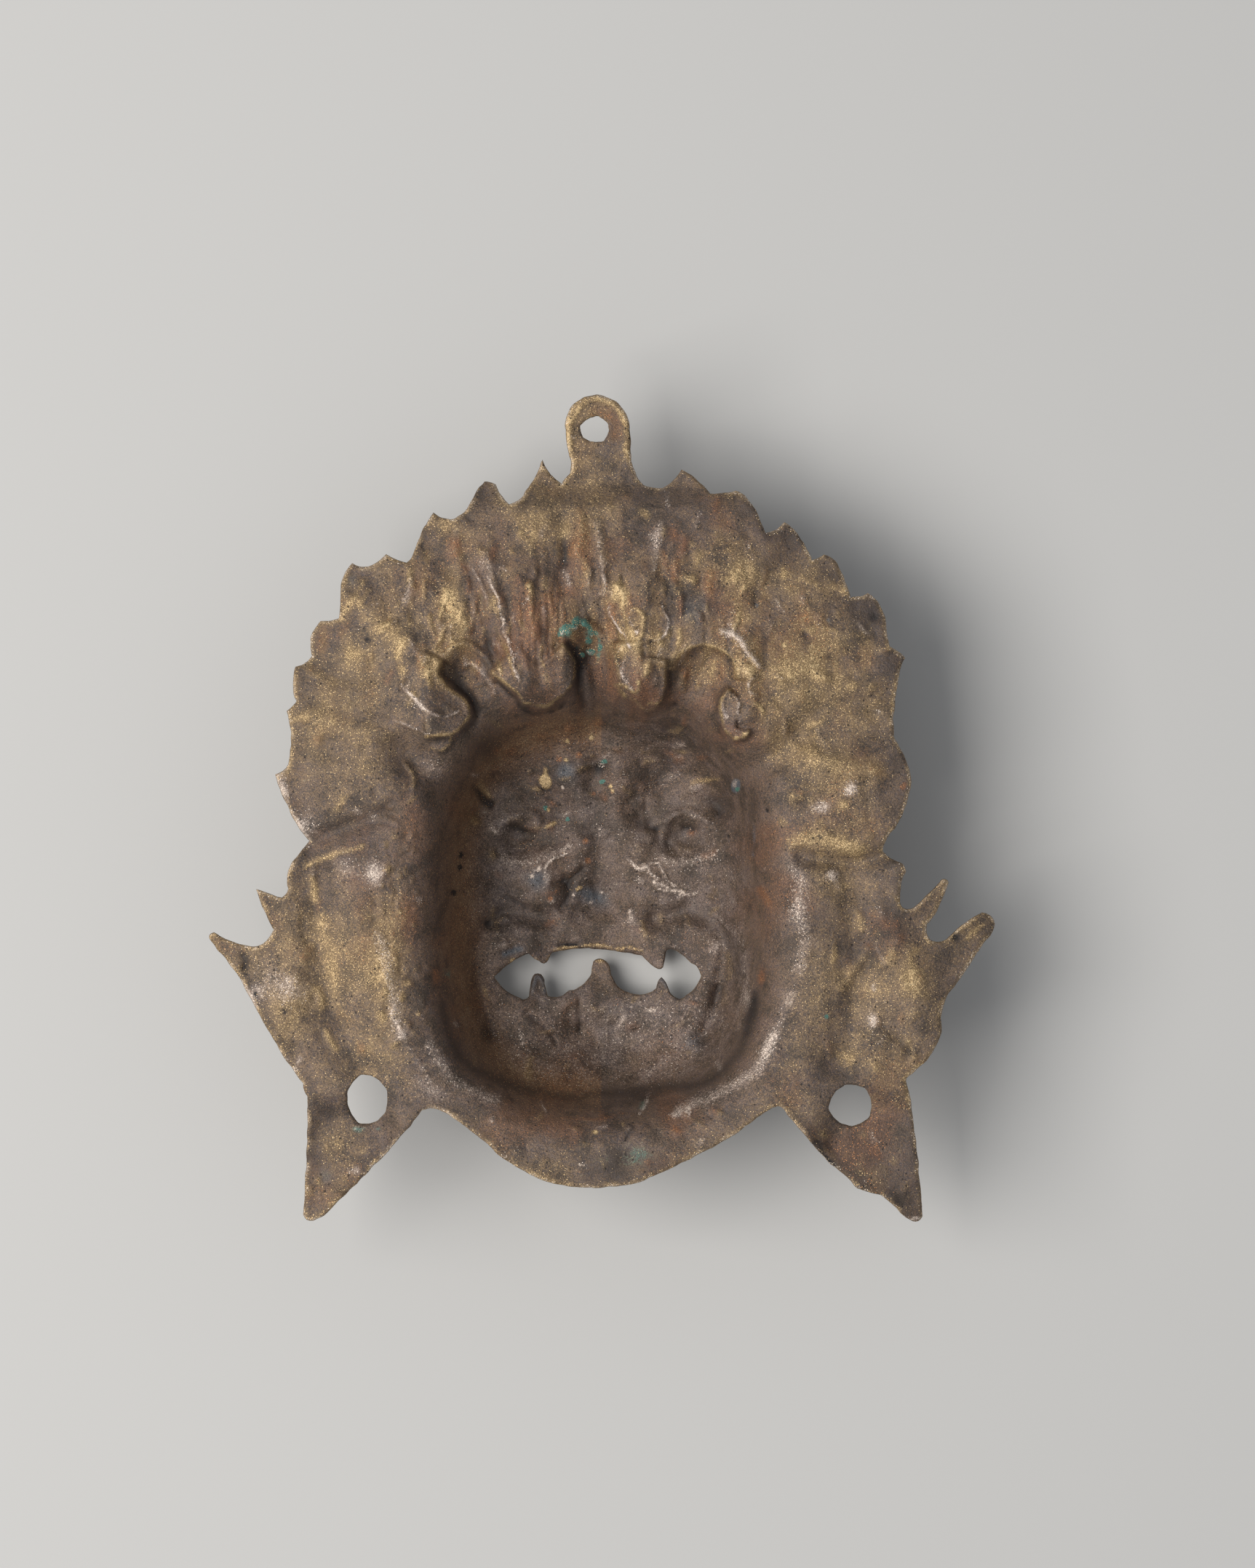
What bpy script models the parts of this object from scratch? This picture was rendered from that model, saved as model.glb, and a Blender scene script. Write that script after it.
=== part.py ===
"""A cast copper-alloy mask of a wrathful guardian, lying on its face with its hollow back up.

The whole mask is one casting. Plan sizes are in millimetres at the mask's drawn height, seen from behind
with the hanging lug at the top: +X to the right, +Y up to the lug, +Z out of the back.
"""

import math

import bmesh
import bpy
import numpy as np
from mathutils import Vector
from mathutils.geometry import delaunay_2d_cdt

MM = 0.001

# Driving sizes, in millimetres
MASK_HEIGHT = 159.0
MASK_DEPTH = 37.5
DRAWN_HEIGHT = 159.0

# Outline, counterclockwise from the lug's crest. Each point is x, y and the swell of the arc to the next
# point, as a share of its chord: above 0 it bows out of the metal, below 0 it cuts in.
LUG_LEFT = (
    (-0.9, 79.5, 0.19),
    (-6.9, 74.0, 0.03),
    (-5.6, 67.2, -0.04),
    (-5.8, 64.4, 0.06),
    (-7.4, 62.4, -0.10),
)
LEFT_FLAMES = (
    (-11.3, 67.0, -0.05),
    (-14.3, 61.1, -0.14),
    (-17.7, 58.3, -0.08),
    (-20.4, 62.3, 0.10),
    (-22.4, 62.9, 0.03),
    (-25.9, 57.2, -0.12),
    (-29.1, 55.4, -0.08),
    (-32.3, 56.7, 0.04),
    (-36.0, 48.6, -0.10),
    (-37.3, 47.1, -0.04),
    (-41.4, 48.7, -0.06),
    (-44.5, 46.4, -0.12),
    (-47.8, 47.0, 0.12),
    (-49.9, 41.2, -0.02),
    (-50.2, 36.5, -0.06),
    (-53.9, 35.8, 0.14),
    (-55.4, 29.2, -0.08),
    (-58.6, 27.1, 0.10),
    (-58.4, 20.5, -0.08),
    (-60.2, 18.7, -0.03),
    (-59.4, 14.2, -0.05),
    (-60.1, 8.2, -0.10),
    (-62.5, 6.4, 0.04),
    (-56.0, -6.3, -0.04),
)
LEFT_EAR = (
    (-58.7, -9.9, 0.12),
    (-59.9, -15.4, -0.10),
    (-61.2, -17.3, -0.02),
    (-66.2, -15.7, 0.02),
    (-62.7, -23.4, -0.14),
    (-66.9, -26.8, -0.07),
    (-74.6, -23.9, 0.30),
    (-75.1, -25.4, -0.02),
    (-68.5, -34.0, 0.02),
    (-57.2, -52.8, 0.08),
)
LEFT_LOBE = (
    (-56.3, -55.2, -0.01),
    (-57.2, -78.2, 0.25),
    (-55.5, -79.3, 0.08),
    (-51.6, -76.4, 0.02),
    (-34.4, -58.0, -0.12),
)
CHIN = (
    (-30.6, -57.9, -0.03),
    (-20.1, -65.8, 0.04),
    (-10.7, -71.4, 0.07),
    (7.7, -71.4, 0.02),
    (25.6, -62.4, 0.00),
    (32.6, -57.3, -0.20),
)
RIGHT_LOBE = (
    (35.3, -57.8, 0.01),
    (44.2, -68.4, -0.03),
    (49.3, -72.9, 0.02),
    (53.6, -74.3, -0.04),
    (57.7, -77.8, 0.04),
    (60.2, -79.5, 0.20),
    (61.7, -78.7, 0.01),
    (60.1, -62.2, 0.02),
    (58.5, -52.8, -0.14),
)
RIGHT_EAR = (
    (59.0, -51.4, 0.06),
    (64.3, -45.5, 0.10),
    (65.1, -40.3, -0.08),
    (67.8, -34.2, 0.00),
    (75.2, -23.6, 0.34),
    (73.3, -20.3, 0.04),
    (66.4, -25.4, -0.42),
    (62.5, -22.2, 0.05),
    (66.7, -14.2, 0.30),
    (65.5, -13.8, -0.02),
    (60.0, -19.2, -0.36),
    (57.2, -17.2, -0.06),
    (58.3, -12.1, 0.20),
    (57.3, -10.6, -0.05),
)
RIGHT_FLAMES = (
    (54.1, -8.5, -0.10),
    (56.2, -3.9, 0.05),
    (59.5, 5.2, 0.05),
    (56.1, 13.8, -0.04),
    (57.2, 25.8, -0.08),
    (58.3, 28.8, 0.06),
    (55.5, 31.1, -0.02),
    (54.4, 36.6, 0.10),
    (51.3, 41.2, -0.06),
    (48.0, 40.4, 0.02),
    (45.3, 47.0, 0.08),
    (42.9, 48.6, -0.06),
    (40.4, 47.5, 0.03),
    (37.7, 52.9, 0.05),
    (35.3, 54.9, -0.10),
    (31.6, 52.9, 0.02),
    (29.0, 58.2, 0.08),
    (26.0, 61.0, -0.05),
    (21.0, 60.5, 0.03),
    (15.6, 65.2, -0.08),
    (11.9, 61.6, -0.10),
)
LUG_RIGHT = (
    (8.0, 62.3, -0.09),
    (5.6, 68.6, 0.01),
    (5.4, 73.4, 0.19),
)
OUTLINE = (
    LUG_LEFT + LEFT_FLAMES + LEFT_EAR + LEFT_LOBE + CHIN + RIGHT_LOBE + RIGHT_EAR + RIGHT_FLAMES + LUG_RIGHT
)

# Mouth gap, counterclockwise from its left corner along the lower lip, with the fangs standing into it
MOUTH = (
    (-21.0, -32.9, 0.05),
    (-19.4, -35.1, 0.08),
    (-15.3, -37.6, 0.12),
    (-13.9, -36.9, -0.02),
    (-13.5, -33.3, -0.30),
    (-12.0, -32.6, -0.05),
    (-11.3, -33.6, 0.05),
    (-10.5, -36.9, 0.14),
    (-6.3, -36.0, 0.10),
    (-1.9, -32.8, -0.04),
    (-1.5, -30.1, -0.22),
    (0.8, -30.1, -0.05),
    (1.7, -32.4, 0.08),
    (3.4, -35.3, 0.14),
    (9.6, -36.2, 0.05),
    (10.8, -35.3, -0.10),
    (11.8, -33.3, -0.04),
    (13.3, -35.9, 0.10),
    (15.1, -37.5, 0.08),
    (18.2, -35.4, 0.06),
    (19.7, -32.7, 0.10),
    (17.7, -30.1, 0.05),
    (13.6, -27.4, 0.16),
    (12.6, -28.0, 0.02),
    (11.9, -31.0, -0.25),
    (10.7, -31.2, -0.06),
    (8.2, -28.8, 0.03),
    (-4.1, -27.4, 0.02),
    (-9.6, -28.3, 0.05),
    (-10.4, -29.7, -0.30),
    (-12.1, -29.8, -0.05),
    (-14.1, -28.3, 0.06),
)


# Wall sizes, in millimetres
WALL_THICKNESS = 2.2
EDGE_THICKNESS = 1.4
EDGE_TAPER = 6.0

# Holes: the hanging hole in the lug and the two cord holes in the ear lobes, in millimetres
LUG_HOLE_CENTRE = (-1.2, 73.0)
LUG_HOLE_WIDTH = 5.8
LUG_HOLE_HEIGHT = 5.2
LEFT_HOLE_CENTRE = (-44.9, -56.0)
LEFT_HOLE_WIDTH = 8.1
LEFT_HOLE_HEIGHT = 9.8
RIGHT_HOLE_CENTRE = (48.0, -57.1)
RIGHT_HOLE_WIDTH = 8.5
RIGHT_HOLE_HEIGHT = 8.3
HOLE_CORNERS = 18

# Face hollow: a rounded box in plan whose wall climbs from its floor to the shoulder around it
HOLLOW_CENTRE = (0.0, -19.5)
HOLLOW_HALF_WIDTH = 30.2
HOLLOW_HALF_HEIGHT = 38.1
HOLLOW_SQUARENESS = 2.8
FLOOR_LEVEL = 6.6
FLOOR_RISE = 6.0
SHOULDER_LEVEL = 36.4
WALL_REACH = 3.7
SHOULDER_SPREAD = 0.28
SHOULDER_SPREAD_ENDS = 0.08
END_SHARPENING = 1.6
END_SHARPENING_START = 0.7
FLOOR_RISE_LIMIT = 1.2
FLANGE_START = 9.0
FLANGE_FALL = 0.0042
REST_LEVEL = 0.9

# Flat seats on the back, as centre x, centre y, radius and level, in millimetres
SEAT_BLEND = 2.5
SEAT_MARGIN = 0.01
SEAT_CORNERS = 12
LEFT_LOBE_SEAT = (-48.6, -65.8, 6.0, 32.0)
RIGHT_LOBE_SEAT = (51.2, -66.0, 6.0, 32.0)
LUG_FLAT_FROM = 63.4
LUG_FLAT_LEVEL = 28.5
LUG_FLAT_BLEND = 6.0

# How quickly a mound and a ridge fall away from their middles
MOUND_FALL = 1.4
RIDGE_FALL = 1.2

# Forms both surfaces share, as x, y, half width, half height, turn in degrees and rise of the back
SHARED_MOUNDS = (
    (-1.1, 6.0, 3.4, 6.0, 0, -2.8),
    (-0.4, -32.0, 22.0, 9.0, 0, -1.8),
    (-11.5, 8.5, 8.0, 5.0, 0, -2.2),
    (11.0, 8.5, 8.0, 5.0, 0, -2.2),
    (-15.8, -6.2, 7.8, 6.8, 10, -3.6),
    (15.7, -5.6, 7.8, 7.0, -10, -3.6),
    (-0.4, -9.0, 3.8, 9.0, 0, -2.2),
    (-0.6, -17.8, 7.4, 5.2, 0, -3.0),
    (-19.0, -17.5, 6.0, 6.0, 30, -2.6),
    (19.0, -16.8, 6.0, 6.0, -30, -2.4),
    (0.3, -45.6, 13.0, 6.4, 0, -4.2),
    (-20.5, -43.8, 5.0, 6.0, 35, -2.0),
    (-0.4, 30.0, 5.2, 9.5, 0, -5.2),
    (-0.4, 20.0, 4.6, 7.0, 0, -4.4),
    (-25.0, 26.5, 6.0, 8.0, -30, -5.0),
    (-20.6, 18.0, 6.0, 7.0, -20, -4.0),
    (18.6, 25.4, 7.6, 7.0, 20, -5.0),
    (15.6, 17.6, 4.4, 6.0, 10, -3.6),
    (-36.0, 9.6, 7.0, 4.6, -40, -3.6),
    (-29.6, 4.6, 5.0, 4.2, -35, -3.0),
    (36.2, 12.4, 7.0, 4.6, 38, -3.6),
    (29.4, 7.4, 5.0, 4.2, 35, -3.0),
    (-60.5, -36.0, 5.0, 15.0, -24, 1.6),
    (59.5, -34.0, 5.6, 15.0, 24, 2.2),
)
SHARED_RIDGES = (
    (((-24.0, -0.5), (-20.5, 3.4), (-14.0, 3.6), (-8.4, 1.2)), 3.6, -4.0),
    (((24.0, -0.5), (20.0, 3.8), (13.6, 3.8), (7.8, 1.2)), 3.6, -4.0),
    (((10.5, -21.8), (18.5, -20.8), (24.4, -25.6), (23.4, -36.0), (20.6, -44.5)), 2.3, -2.0),
    (((-10.5, -21.8), (-18.5, -20.8), (-24.2, -26.0), (-23.8, -36.0), (-21.5, -44.5)), 2.3, -2.0),
    (((26.2, -24.0), (28.0, -32.0), (27.2, -42.0)), 1.6, 1.3),
    (((-56.5, -7.0), (-50.0, -4.2), (-41.0, -1.4)), 2.0, -1.7),
    (((54.4, -9.0), (47.0, -10.4), (38.5, -9.4)), 2.0, -1.7),
    (((-53.6, -14.0), (-54.4, -26.0), (-51.0, -40.0), (-46.6, -49.0)), 4.6, -3.4),
    (((48.6, -15.0), (49.6, -28.0), (48.0, -40.0), (45.8, -48.0)), 4.6, -3.6),
    (((-14.6, 45.0), (-13.6, 35.0), (-14.4, 24.0)), 3.8, 1.5),
    (((9.0, 44.0), (8.0, 34.0), (7.4, 24.0)), 3.0, 1.7),
    (((-34.6, 27.0), (-33.6, 18.0)), 4.0, 1.4),
    (((28.6, 31.0), (28.0, 18.0)), 2.6, 1.5),
)

# Forms the face side carries alone, as above but with the metal's extra thickness towards the front
FACE_MOUNDS = (
    (-0.8, 6.2, 3.0, 4.8, 0, 2.0),
    (-15.8, -6.4, 5.2, 4.6, 8, 2.6),
    (15.7, -6.0, 5.2, 4.6, -8, 2.6),
    (-0.6, -17.8, 5.4, 4.8, 0, 2.0),
    (-7.2, -18.6, 3.4, 3.0, 0, 1.4),
    (6.0, -18.6, 3.4, 3.0, 0, 1.4),
    (0.0, -45.8, 8.0, 4.6, 0, 2.8),
    (-0.4, 31.0, 6.4, 7.0, 0, 2.6),
    (-21.8, 27.6, 6.2, 7.0, -16, 2.6),
    (20.6, 27.6, 6.2, 7.0, 16, 2.6),
    (-37.4, 14.0, 5.8, 6.4, -30, 2.4),
    (36.8, 14.6, 5.8, 6.4, 30, 2.4),
    (-46.0, -66.0, 5.0, 6.0, 0, 0.8),
    (50.0, -66.0, 5.0, 6.0, 0, 0.8),
)
FACE_RIDGES = (
    (((-25.0, -1.0), (-20.6, 3.4), (-14.0, 3.4), (-8.2, 0.8)), 2.7, 3.4),
    (((25.0, -1.0), (20.0, 3.6), (13.6, 3.6), (7.6, 0.8)), 2.7, 3.4),
    (((-22.0, -25.6), (-12.0, -25.0), (0.0, -24.2), (12.0, -25.0), (22.0, -25.6)), 1.7, 1.5),
    (((-22.4, -36.0), (-12.0, -40.6), (0.0, -38.8), (12.0, -40.4), (21.8, -35.8)), 1.8, 1.5),
    (((-2.0, -22.4), (-12.0, -22.4), (-21.0, -21.0), (-26.4, -27.0)), 1.9, 1.4),
    (((1.0, -22.4), (12.0, -22.4), (21.0, -21.0), (26.6, -27.0)), 1.9, 1.4),
    (((-60.4, -20.0), (-66.0, -27.0), (-61.0, -41.0), (-52.0, -52.0)), 2.4, 1.5),
    (((60.0, -20.0), (66.0, -27.0), (61.6, -41.0), (53.0, -52.0)), 2.4, 1.5),
)

# Flame locks of the crown, which fan out between an inner radius and the lug, in millimetres
FLAME_COUNT = 19
FLAME_RISE = 0.9
FLAME_CENTRE = (0.0, -4.0)
FLAME_INNER_RADIUS = 42.0
FLAME_BLEND = 8.0
FLAME_LOWEST = -4.0
FLAME_LOW_BLEND = 12.0
FLAME_HIGHEST = 70.0
FLAME_TWIST = 0.12
FACE_EDGE_RELIEF = 0.15

# How far apart the surface points stand, in millimetres
OUTLINE_STEP = 2.3
MOUTH_STEP = 1.7
FACE_STEP = 2.5
FACE_STEP_REACH = 6.0
FLANGE_STEP = 3.7
EDGE_GAP = 0.62
MERGE_GAP = 0.001
GRID_HALF_WIDTH = 80.0
GRID_HALF_HEIGHT = 82.0
CURVE_STEPS = 5
SHELL_SAMPLES = 12
SHELL_RINGS = (0.5, 0.85, 1.0)
DEPTH_PASSES = 4

METAL_COLOUR = (0.38, 0.29, 0.17, 1.0)


def arc_points(start, end, swell, step):
    """Points from start up to but not including end, along the arc whose rise is swell times its chord."""
    chord = math.dist(start, end)
    count = max(1, math.ceil(chord / step))
    across = (end[1] - start[1], start[0] - end[0])
    points = []
    for i in range(count):
        t = i / count
        rise = 4 * swell * t * (1 - t)
        points.append(
            (
                start[0] + (end[0] - start[0]) * t + across[0] * rise,
                start[1] + (end[1] - start[1]) * t + across[1] * rise,
            )
        )
    return points


def loop_points(loop, step):
    """The closed loop of points and swells as plain points at most step apart."""
    points = []
    for here, after in zip(loop, loop[1:] + loop[:1]):
        points += arc_points(here[:2], after[:2], here[2], step)
    return points


def smooth_curve(points, steps):
    """Points along a curve that passes through every given point."""
    padded = [np.array(points[0])] + [np.array(p) for p in points] + [np.array(points[-1])]
    curve = []
    for before, here, after, beyond in zip(padded, padded[1:], padded[2:], padded[3:]):
        for i in range(steps):
            t = i / steps
            curve.append(
                0.5
                * (
                    2 * here
                    + (after - before) * t
                    + (2 * before - 5 * here + 4 * after - beyond) * t**2
                    + (3 * here - before - 3 * after + beyond) * t**3
                )
            )
    curve.append(padded[-1])
    return curve


def distance_to_line(x, y, line):
    """Distance from each point to the line of joined points."""
    nearest = np.full(x.shape, np.inf)
    for (x0, y0), (x1, y1) in zip(line, line[1:]):
        dx = x1 - x0
        dy = y1 - y0
        along = np.clip(((x - x0) * dx + (y - y0) * dy) / (dx * dx + dy * dy), 0, 1)
        nearest = np.minimum(nearest, np.hypot(x - x0 - along * dx, y - y0 - along * dy))
    return nearest


def smooth_step(t):
    """Eased climb from 0 to 1 as t goes from 0 to 1."""
    t = np.clip(t, 0, 1)
    return t * t * (3 - 2 * t)


def mound(x, y, form):
    """Soft elliptical swell, as tall as the form says at its middle."""
    cx, cy, half_width, half_height, turn, rise = form
    cos = math.cos(math.radians(turn))
    sin = math.sin(math.radians(turn))
    u = ((x - cx) * cos + (y - cy) * sin) / half_width
    v = ((y - cy) * cos - (x - cx) * sin) / half_height
    return rise * np.exp(-MOUND_FALL * (u * u + v * v))


def ridge(x, y, form):
    """Soft ridge along a curve, of the form's half width and rise."""
    points, half_width, rise = form
    away = distance_to_line(x, y, smooth_curve(points, CURVE_STEPS)) / half_width
    return rise * np.exp(-RIDGE_FALL * away * away)


def hollow_reach(x, y):
    """Distance outside the face hollow's opening, below 0 inside it, and the share of the way out to it."""
    dx = (x - HOLLOW_CENTRE[0]) / HOLLOW_HALF_WIDTH
    dy = (y - HOLLOW_CENTRE[1]) / HOLLOW_HALF_HEIGHT
    share = (abs(dx) ** HOLLOW_SQUARENESS + abs(dy) ** HOLLOW_SQUARENESS) ** (1 / HOLLOW_SQUARENESS)
    share = np.maximum(share, 0.001)
    radius = np.hypot(x - HOLLOW_CENTRE[0], y - HOLLOW_CENTRE[1])
    return radius * (1 - 1 / share), share


def shared_height(x, y):
    """Height of the form that both surfaces follow, as drawn."""
    reach, share = hollow_reach(x, y)
    endness = abs(y - HOLLOW_CENTRE[1]) / HOLLOW_HALF_HEIGHT
    sharpening = smooth_step(endness * END_SHARPENING - END_SHARPENING_START)
    spread = SHOULDER_SPREAD + (SHOULDER_SPREAD_ENDS - SHOULDER_SPREAD) * sharpening
    climb = np.where(reach < 0, reach / WALL_REACH, reach / (WALL_REACH + spread * abs(reach)))
    wall = 0.5 + 0.5 * np.tanh(climb)
    floor = FLOOR_LEVEL + FLOOR_RISE * np.minimum(share, FLOOR_RISE_LIMIT) ** 2
    rim = SHOULDER_LEVEL - FLANGE_FALL * np.maximum(reach - FLANGE_START, 0) ** 2
    height = floor + (rim - floor) * wall
    for form in SHARED_MOUNDS:
        height = height + mound(x, y, form)
    for form in SHARED_RIDGES:
        height = height + ridge(x, y, form)
    for cx, cy, radius, level in (LEFT_LOBE_SEAT, RIGHT_LOBE_SEAT):
        weight = 1 - smooth_step((np.hypot(x - cx, y - cy) - radius - SEAT_MARGIN) / SEAT_BLEND)
        height = height + (level - height) * weight
    weight = smooth_step((y - LUG_FLAT_FROM + LUG_FLAT_BLEND) / LUG_FLAT_BLEND)
    return height + (LUG_FLAT_LEVEL - height) * weight


def face_relief(x, y):
    """Extra metal that the face side carries, as drawn."""
    relief = np.zeros(x.shape)
    for form in FACE_MOUNDS:
        relief = relief + mound(x, y, form)
    for form in FACE_RIDGES:
        relief = relief + ridge(x, y, form)
    angle = np.arctan2(x - FLAME_CENTRE[0], y - FLAME_CENTRE[1])
    radius = np.hypot(x - FLAME_CENTRE[0], y - FLAME_CENTRE[1])
    crown = smooth_step((radius - FLAME_INNER_RADIUS) / FLAME_BLEND)
    crown = crown * smooth_step((y - FLAME_LOWEST) / FLAME_LOW_BLEND)
    crown = crown * smooth_step((FLAME_HIGHEST - y) / FLAME_BLEND)
    lock = np.cos(angle * FLAME_COUNT * 2 + FLAME_TWIST * (radius - FLAME_INNER_RADIUS))
    return relief + FLAME_RISE * crown * (0.5 + 0.5 * lock)


def front_height(x, y, depth_share, edge_distance):
    """Height of the face side: the shared form moved in by the wall's thickness, less the face's relief."""
    thickness = EDGE_THICKNESS + (WALL_THICKNESS - EDGE_THICKNESS) * smooth_step(edge_distance / EDGE_TAPER)
    plan_share = MASK_HEIGHT / DRAWN_HEIGHT
    lowest = shared_height(x, y) * depth_share - thickness
    for share in SHELL_RINGS:
        drop = thickness * math.sqrt(1 - share * share)
        for i in range(SHELL_SAMPLES):
            angle = 2 * math.pi * i / SHELL_SAMPLES
            nearby_x = x + thickness * share * math.cos(angle) / plan_share
            nearby_y = y + thickness * share * math.sin(angle) / plan_share
            lowest = np.minimum(lowest, shared_height(nearby_x, nearby_y) * depth_share - drop)
    return lowest - face_relief(x, y) * smooth_step(edge_distance / EDGE_TAPER + FACE_EDGE_RELIEF)


def hole_loop(centre, width, height):
    """Slightly uneven oval hole, as points in drawn millimetres that keep the hole's own size."""
    plan_share = MASK_HEIGHT / DRAWN_HEIGHT
    points = []
    for i in range(HOLE_CORNERS):
        angle = 2 * math.pi * i / HOLE_CORNERS
        swell = 0.5 / plan_share
        points.append(
            (centre[0] + width * swell * math.cos(angle), centre[1] + height * swell * math.sin(angle))
        )
    return points


def seat_loop(seat):
    """Corners of the flat seat's edge."""
    cx, cy, radius, _ = seat
    turns = [2 * math.pi * i / SEAT_CORNERS for i in range(SEAT_CORNERS)]
    return [(cx + radius * math.cos(turn), cy + radius * math.sin(turn)) for turn in turns]


def inside(x, y, loop):
    """Whether each point lies inside the closed loop."""
    result = np.zeros(x.shape, dtype=bool)
    for (x0, y0), (x1, y1) in zip(loop, loop[1:] + loop[:1]):
        if y0 == y1:
            continue
        crosses = ((y0 > y) != (y1 > y)) & (x < (x1 - x0) * (y - y0) / (y1 - y0) + x0)
        result ^= crosses
    return result


def grid_points(step):
    """Points of an even triangular grid over the whole plan."""
    xs = np.arange(-GRID_HALF_WIDTH, GRID_HALF_WIDTH, step)
    ys = np.arange(-GRID_HALF_HEIGHT, GRID_HALF_HEIGHT, step * math.sqrt(0.75))
    x, y = np.meshgrid(xs, ys)
    x = x + (np.arange(len(ys)) % 2)[:, None] * step * 0.5
    return x.ravel(), y.ravel()


def plan_triangles():
    """Plan points and the triangles that fill the metal between the outline and its openings."""
    outer = loop_points(OUTLINE, OUTLINE_STEP)
    openings = [
        loop_points(MOUTH, MOUTH_STEP),
        hole_loop(LUG_HOLE_CENTRE, LUG_HOLE_WIDTH, LUG_HOLE_HEIGHT),
        hole_loop(LEFT_HOLE_CENTRE, LEFT_HOLE_WIDTH, LEFT_HOLE_HEIGHT),
        hole_loop(RIGHT_HOLE_CENTRE, RIGHT_HOLE_WIDTH, RIGHT_HOLE_HEIGHT),
    ]
    seats = [seat_loop(LEFT_LOBE_SEAT), seat_loop(RIGHT_LOBE_SEAT)]
    loops = [outer] + openings + seats
    points = []
    edges = []
    for loop in loops:
        first = len(points)
        points += [Vector(p) for p in loop]
        edges += [(first + i, first + (i + 1) % len(loop)) for i in range(len(loop))]
    for step, in_face in ((FACE_STEP, True), (FLANGE_STEP, False)):
        x, y = grid_points(step)
        reach, _ = hollow_reach(x, y)
        keep = (reach < FACE_STEP_REACH) == in_face
        keep &= inside(x, y, outer)
        for loop in loops:
            keep &= distance_to_line(x, y, loop + loop[:1]) > step * EDGE_GAP
        for opening in openings:
            keep &= ~inside(x, y, opening)
        for seat in seats:
            keep &= ~inside(x, y, seat)
        points += [Vector((float(px), float(py))) for px, py in zip(x[keep], y[keep])]
    corners, _, faces, _, _, _ = delaunay_2d_cdt(points, edges, [], 0, MERGE_GAP)
    x = np.array([corner.x for corner in corners])
    y = np.array([corner.y for corner in corners])
    triangles = np.array([list(face) for face in faces])
    middle_x = x[triangles].mean(axis=1)
    middle_y = y[triangles].mean(axis=1)
    keep = inside(middle_x, middle_y, outer)
    for opening in openings:
        keep &= ~inside(middle_x, middle_y, opening)
    triangles = triangles[keep]
    edge_distance = distance_to_line(x, y, outer + outer[:1])
    return x, y, triangles, edge_distance


def shell_heights(x, y, edge_distance):
    """Heights of the back and the front, with the drawn depth stretched to give the mask's depth."""
    drawn = shared_height(x, y)
    depth_share = MASK_DEPTH / drawn.max()
    for _ in range(DEPTH_PASSES):
        back = drawn * depth_share
        front = front_height(x, y, depth_share, edge_distance)
        front = np.maximum(front, front.min() + REST_LEVEL)
        depth_share *= (MASK_DEPTH - WALL_THICKNESS) / (back.max() - front.min() - WALL_THICKNESS)
    return back, front


def build_mask():
    """The mask as one closed mesh."""
    x, y, triangles, edge_distance = plan_triangles()
    back, front = shell_heights(x, y, edge_distance)
    plan_share = MASK_HEIGHT / DRAWN_HEIGHT
    used = sorted({int(i) for i in triangles.ravel()})
    mesh = bmesh.new()
    upper = {}
    lower = {}
    for i in used:
        px = float(x[i]) * plan_share * MM
        py = float(y[i]) * plan_share * MM
        upper[i] = mesh.verts.new((px, py, float(back[i]) * MM))
        lower[i] = mesh.verts.new((px, py, float(front[i]) * MM))
    open_edges = {}
    for a, b, c in triangles.tolist():
        mesh.faces.new((upper[a], upper[b], upper[c]))
        mesh.faces.new((lower[c], lower[b], lower[a]))
        for start, end in ((a, b), (b, c), (c, a)):
            if open_edges.pop((end, start), None) is None:
                open_edges[(start, end)] = True
    for start, end in open_edges:
        mesh.faces.new((upper[end], upper[start], lower[start], lower[end]))
    return mesh


def centre_on_base(mesh):
    """Moves the mesh so its box is centred on the origin and stands on the ground."""
    xs = [v.co.x for v in mesh.verts]
    ys = [v.co.y for v in mesh.verts]
    zs = [v.co.z for v in mesh.verts]
    shift = Vector((-(min(xs) + max(xs)) / 2, -(min(ys) + max(ys)) / 2, -min(zs)))
    bmesh.ops.translate(mesh, verts=mesh.verts, vec=shift)


def main():
    for old in list(bpy.data.objects):
        bpy.data.objects.remove(old, do_unlink=True)
    mesh = build_mask()
    centre_on_base(mesh)
    data = bpy.data.meshes.new("cast_mask")
    mesh.to_mesh(data)
    mesh.free()
    material = bpy.data.materials.new("copper_alloy")
    material.use_nodes = True
    surface = material.node_tree.nodes["Principled BSDF"]
    surface.inputs["Base Color"].default_value = METAL_COLOUR
    surface.inputs["Metallic"].default_value = 1.0
    surface.inputs["Roughness"].default_value = 0.45
    data.materials.append(material)
    bpy.context.scene.collection.objects.link(bpy.data.objects.new("cast_mask", data))


main()
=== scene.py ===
"""Looks of a cast copper-alloy mask of a wrathful guardian, lying on its face with its hollow back up.

Plan places are in millimetres, seen from behind with the hanging lug at the top: +X right, +Y up to the lug
and +Z out of the back.
"""

import logging
import math
from collections.abc import Callable
from dataclasses import dataclass, replace
from enum import Enum

import bpy
import numpy as np
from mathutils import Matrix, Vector
from mathutils.geometry import delaunay_2d_cdt


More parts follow.
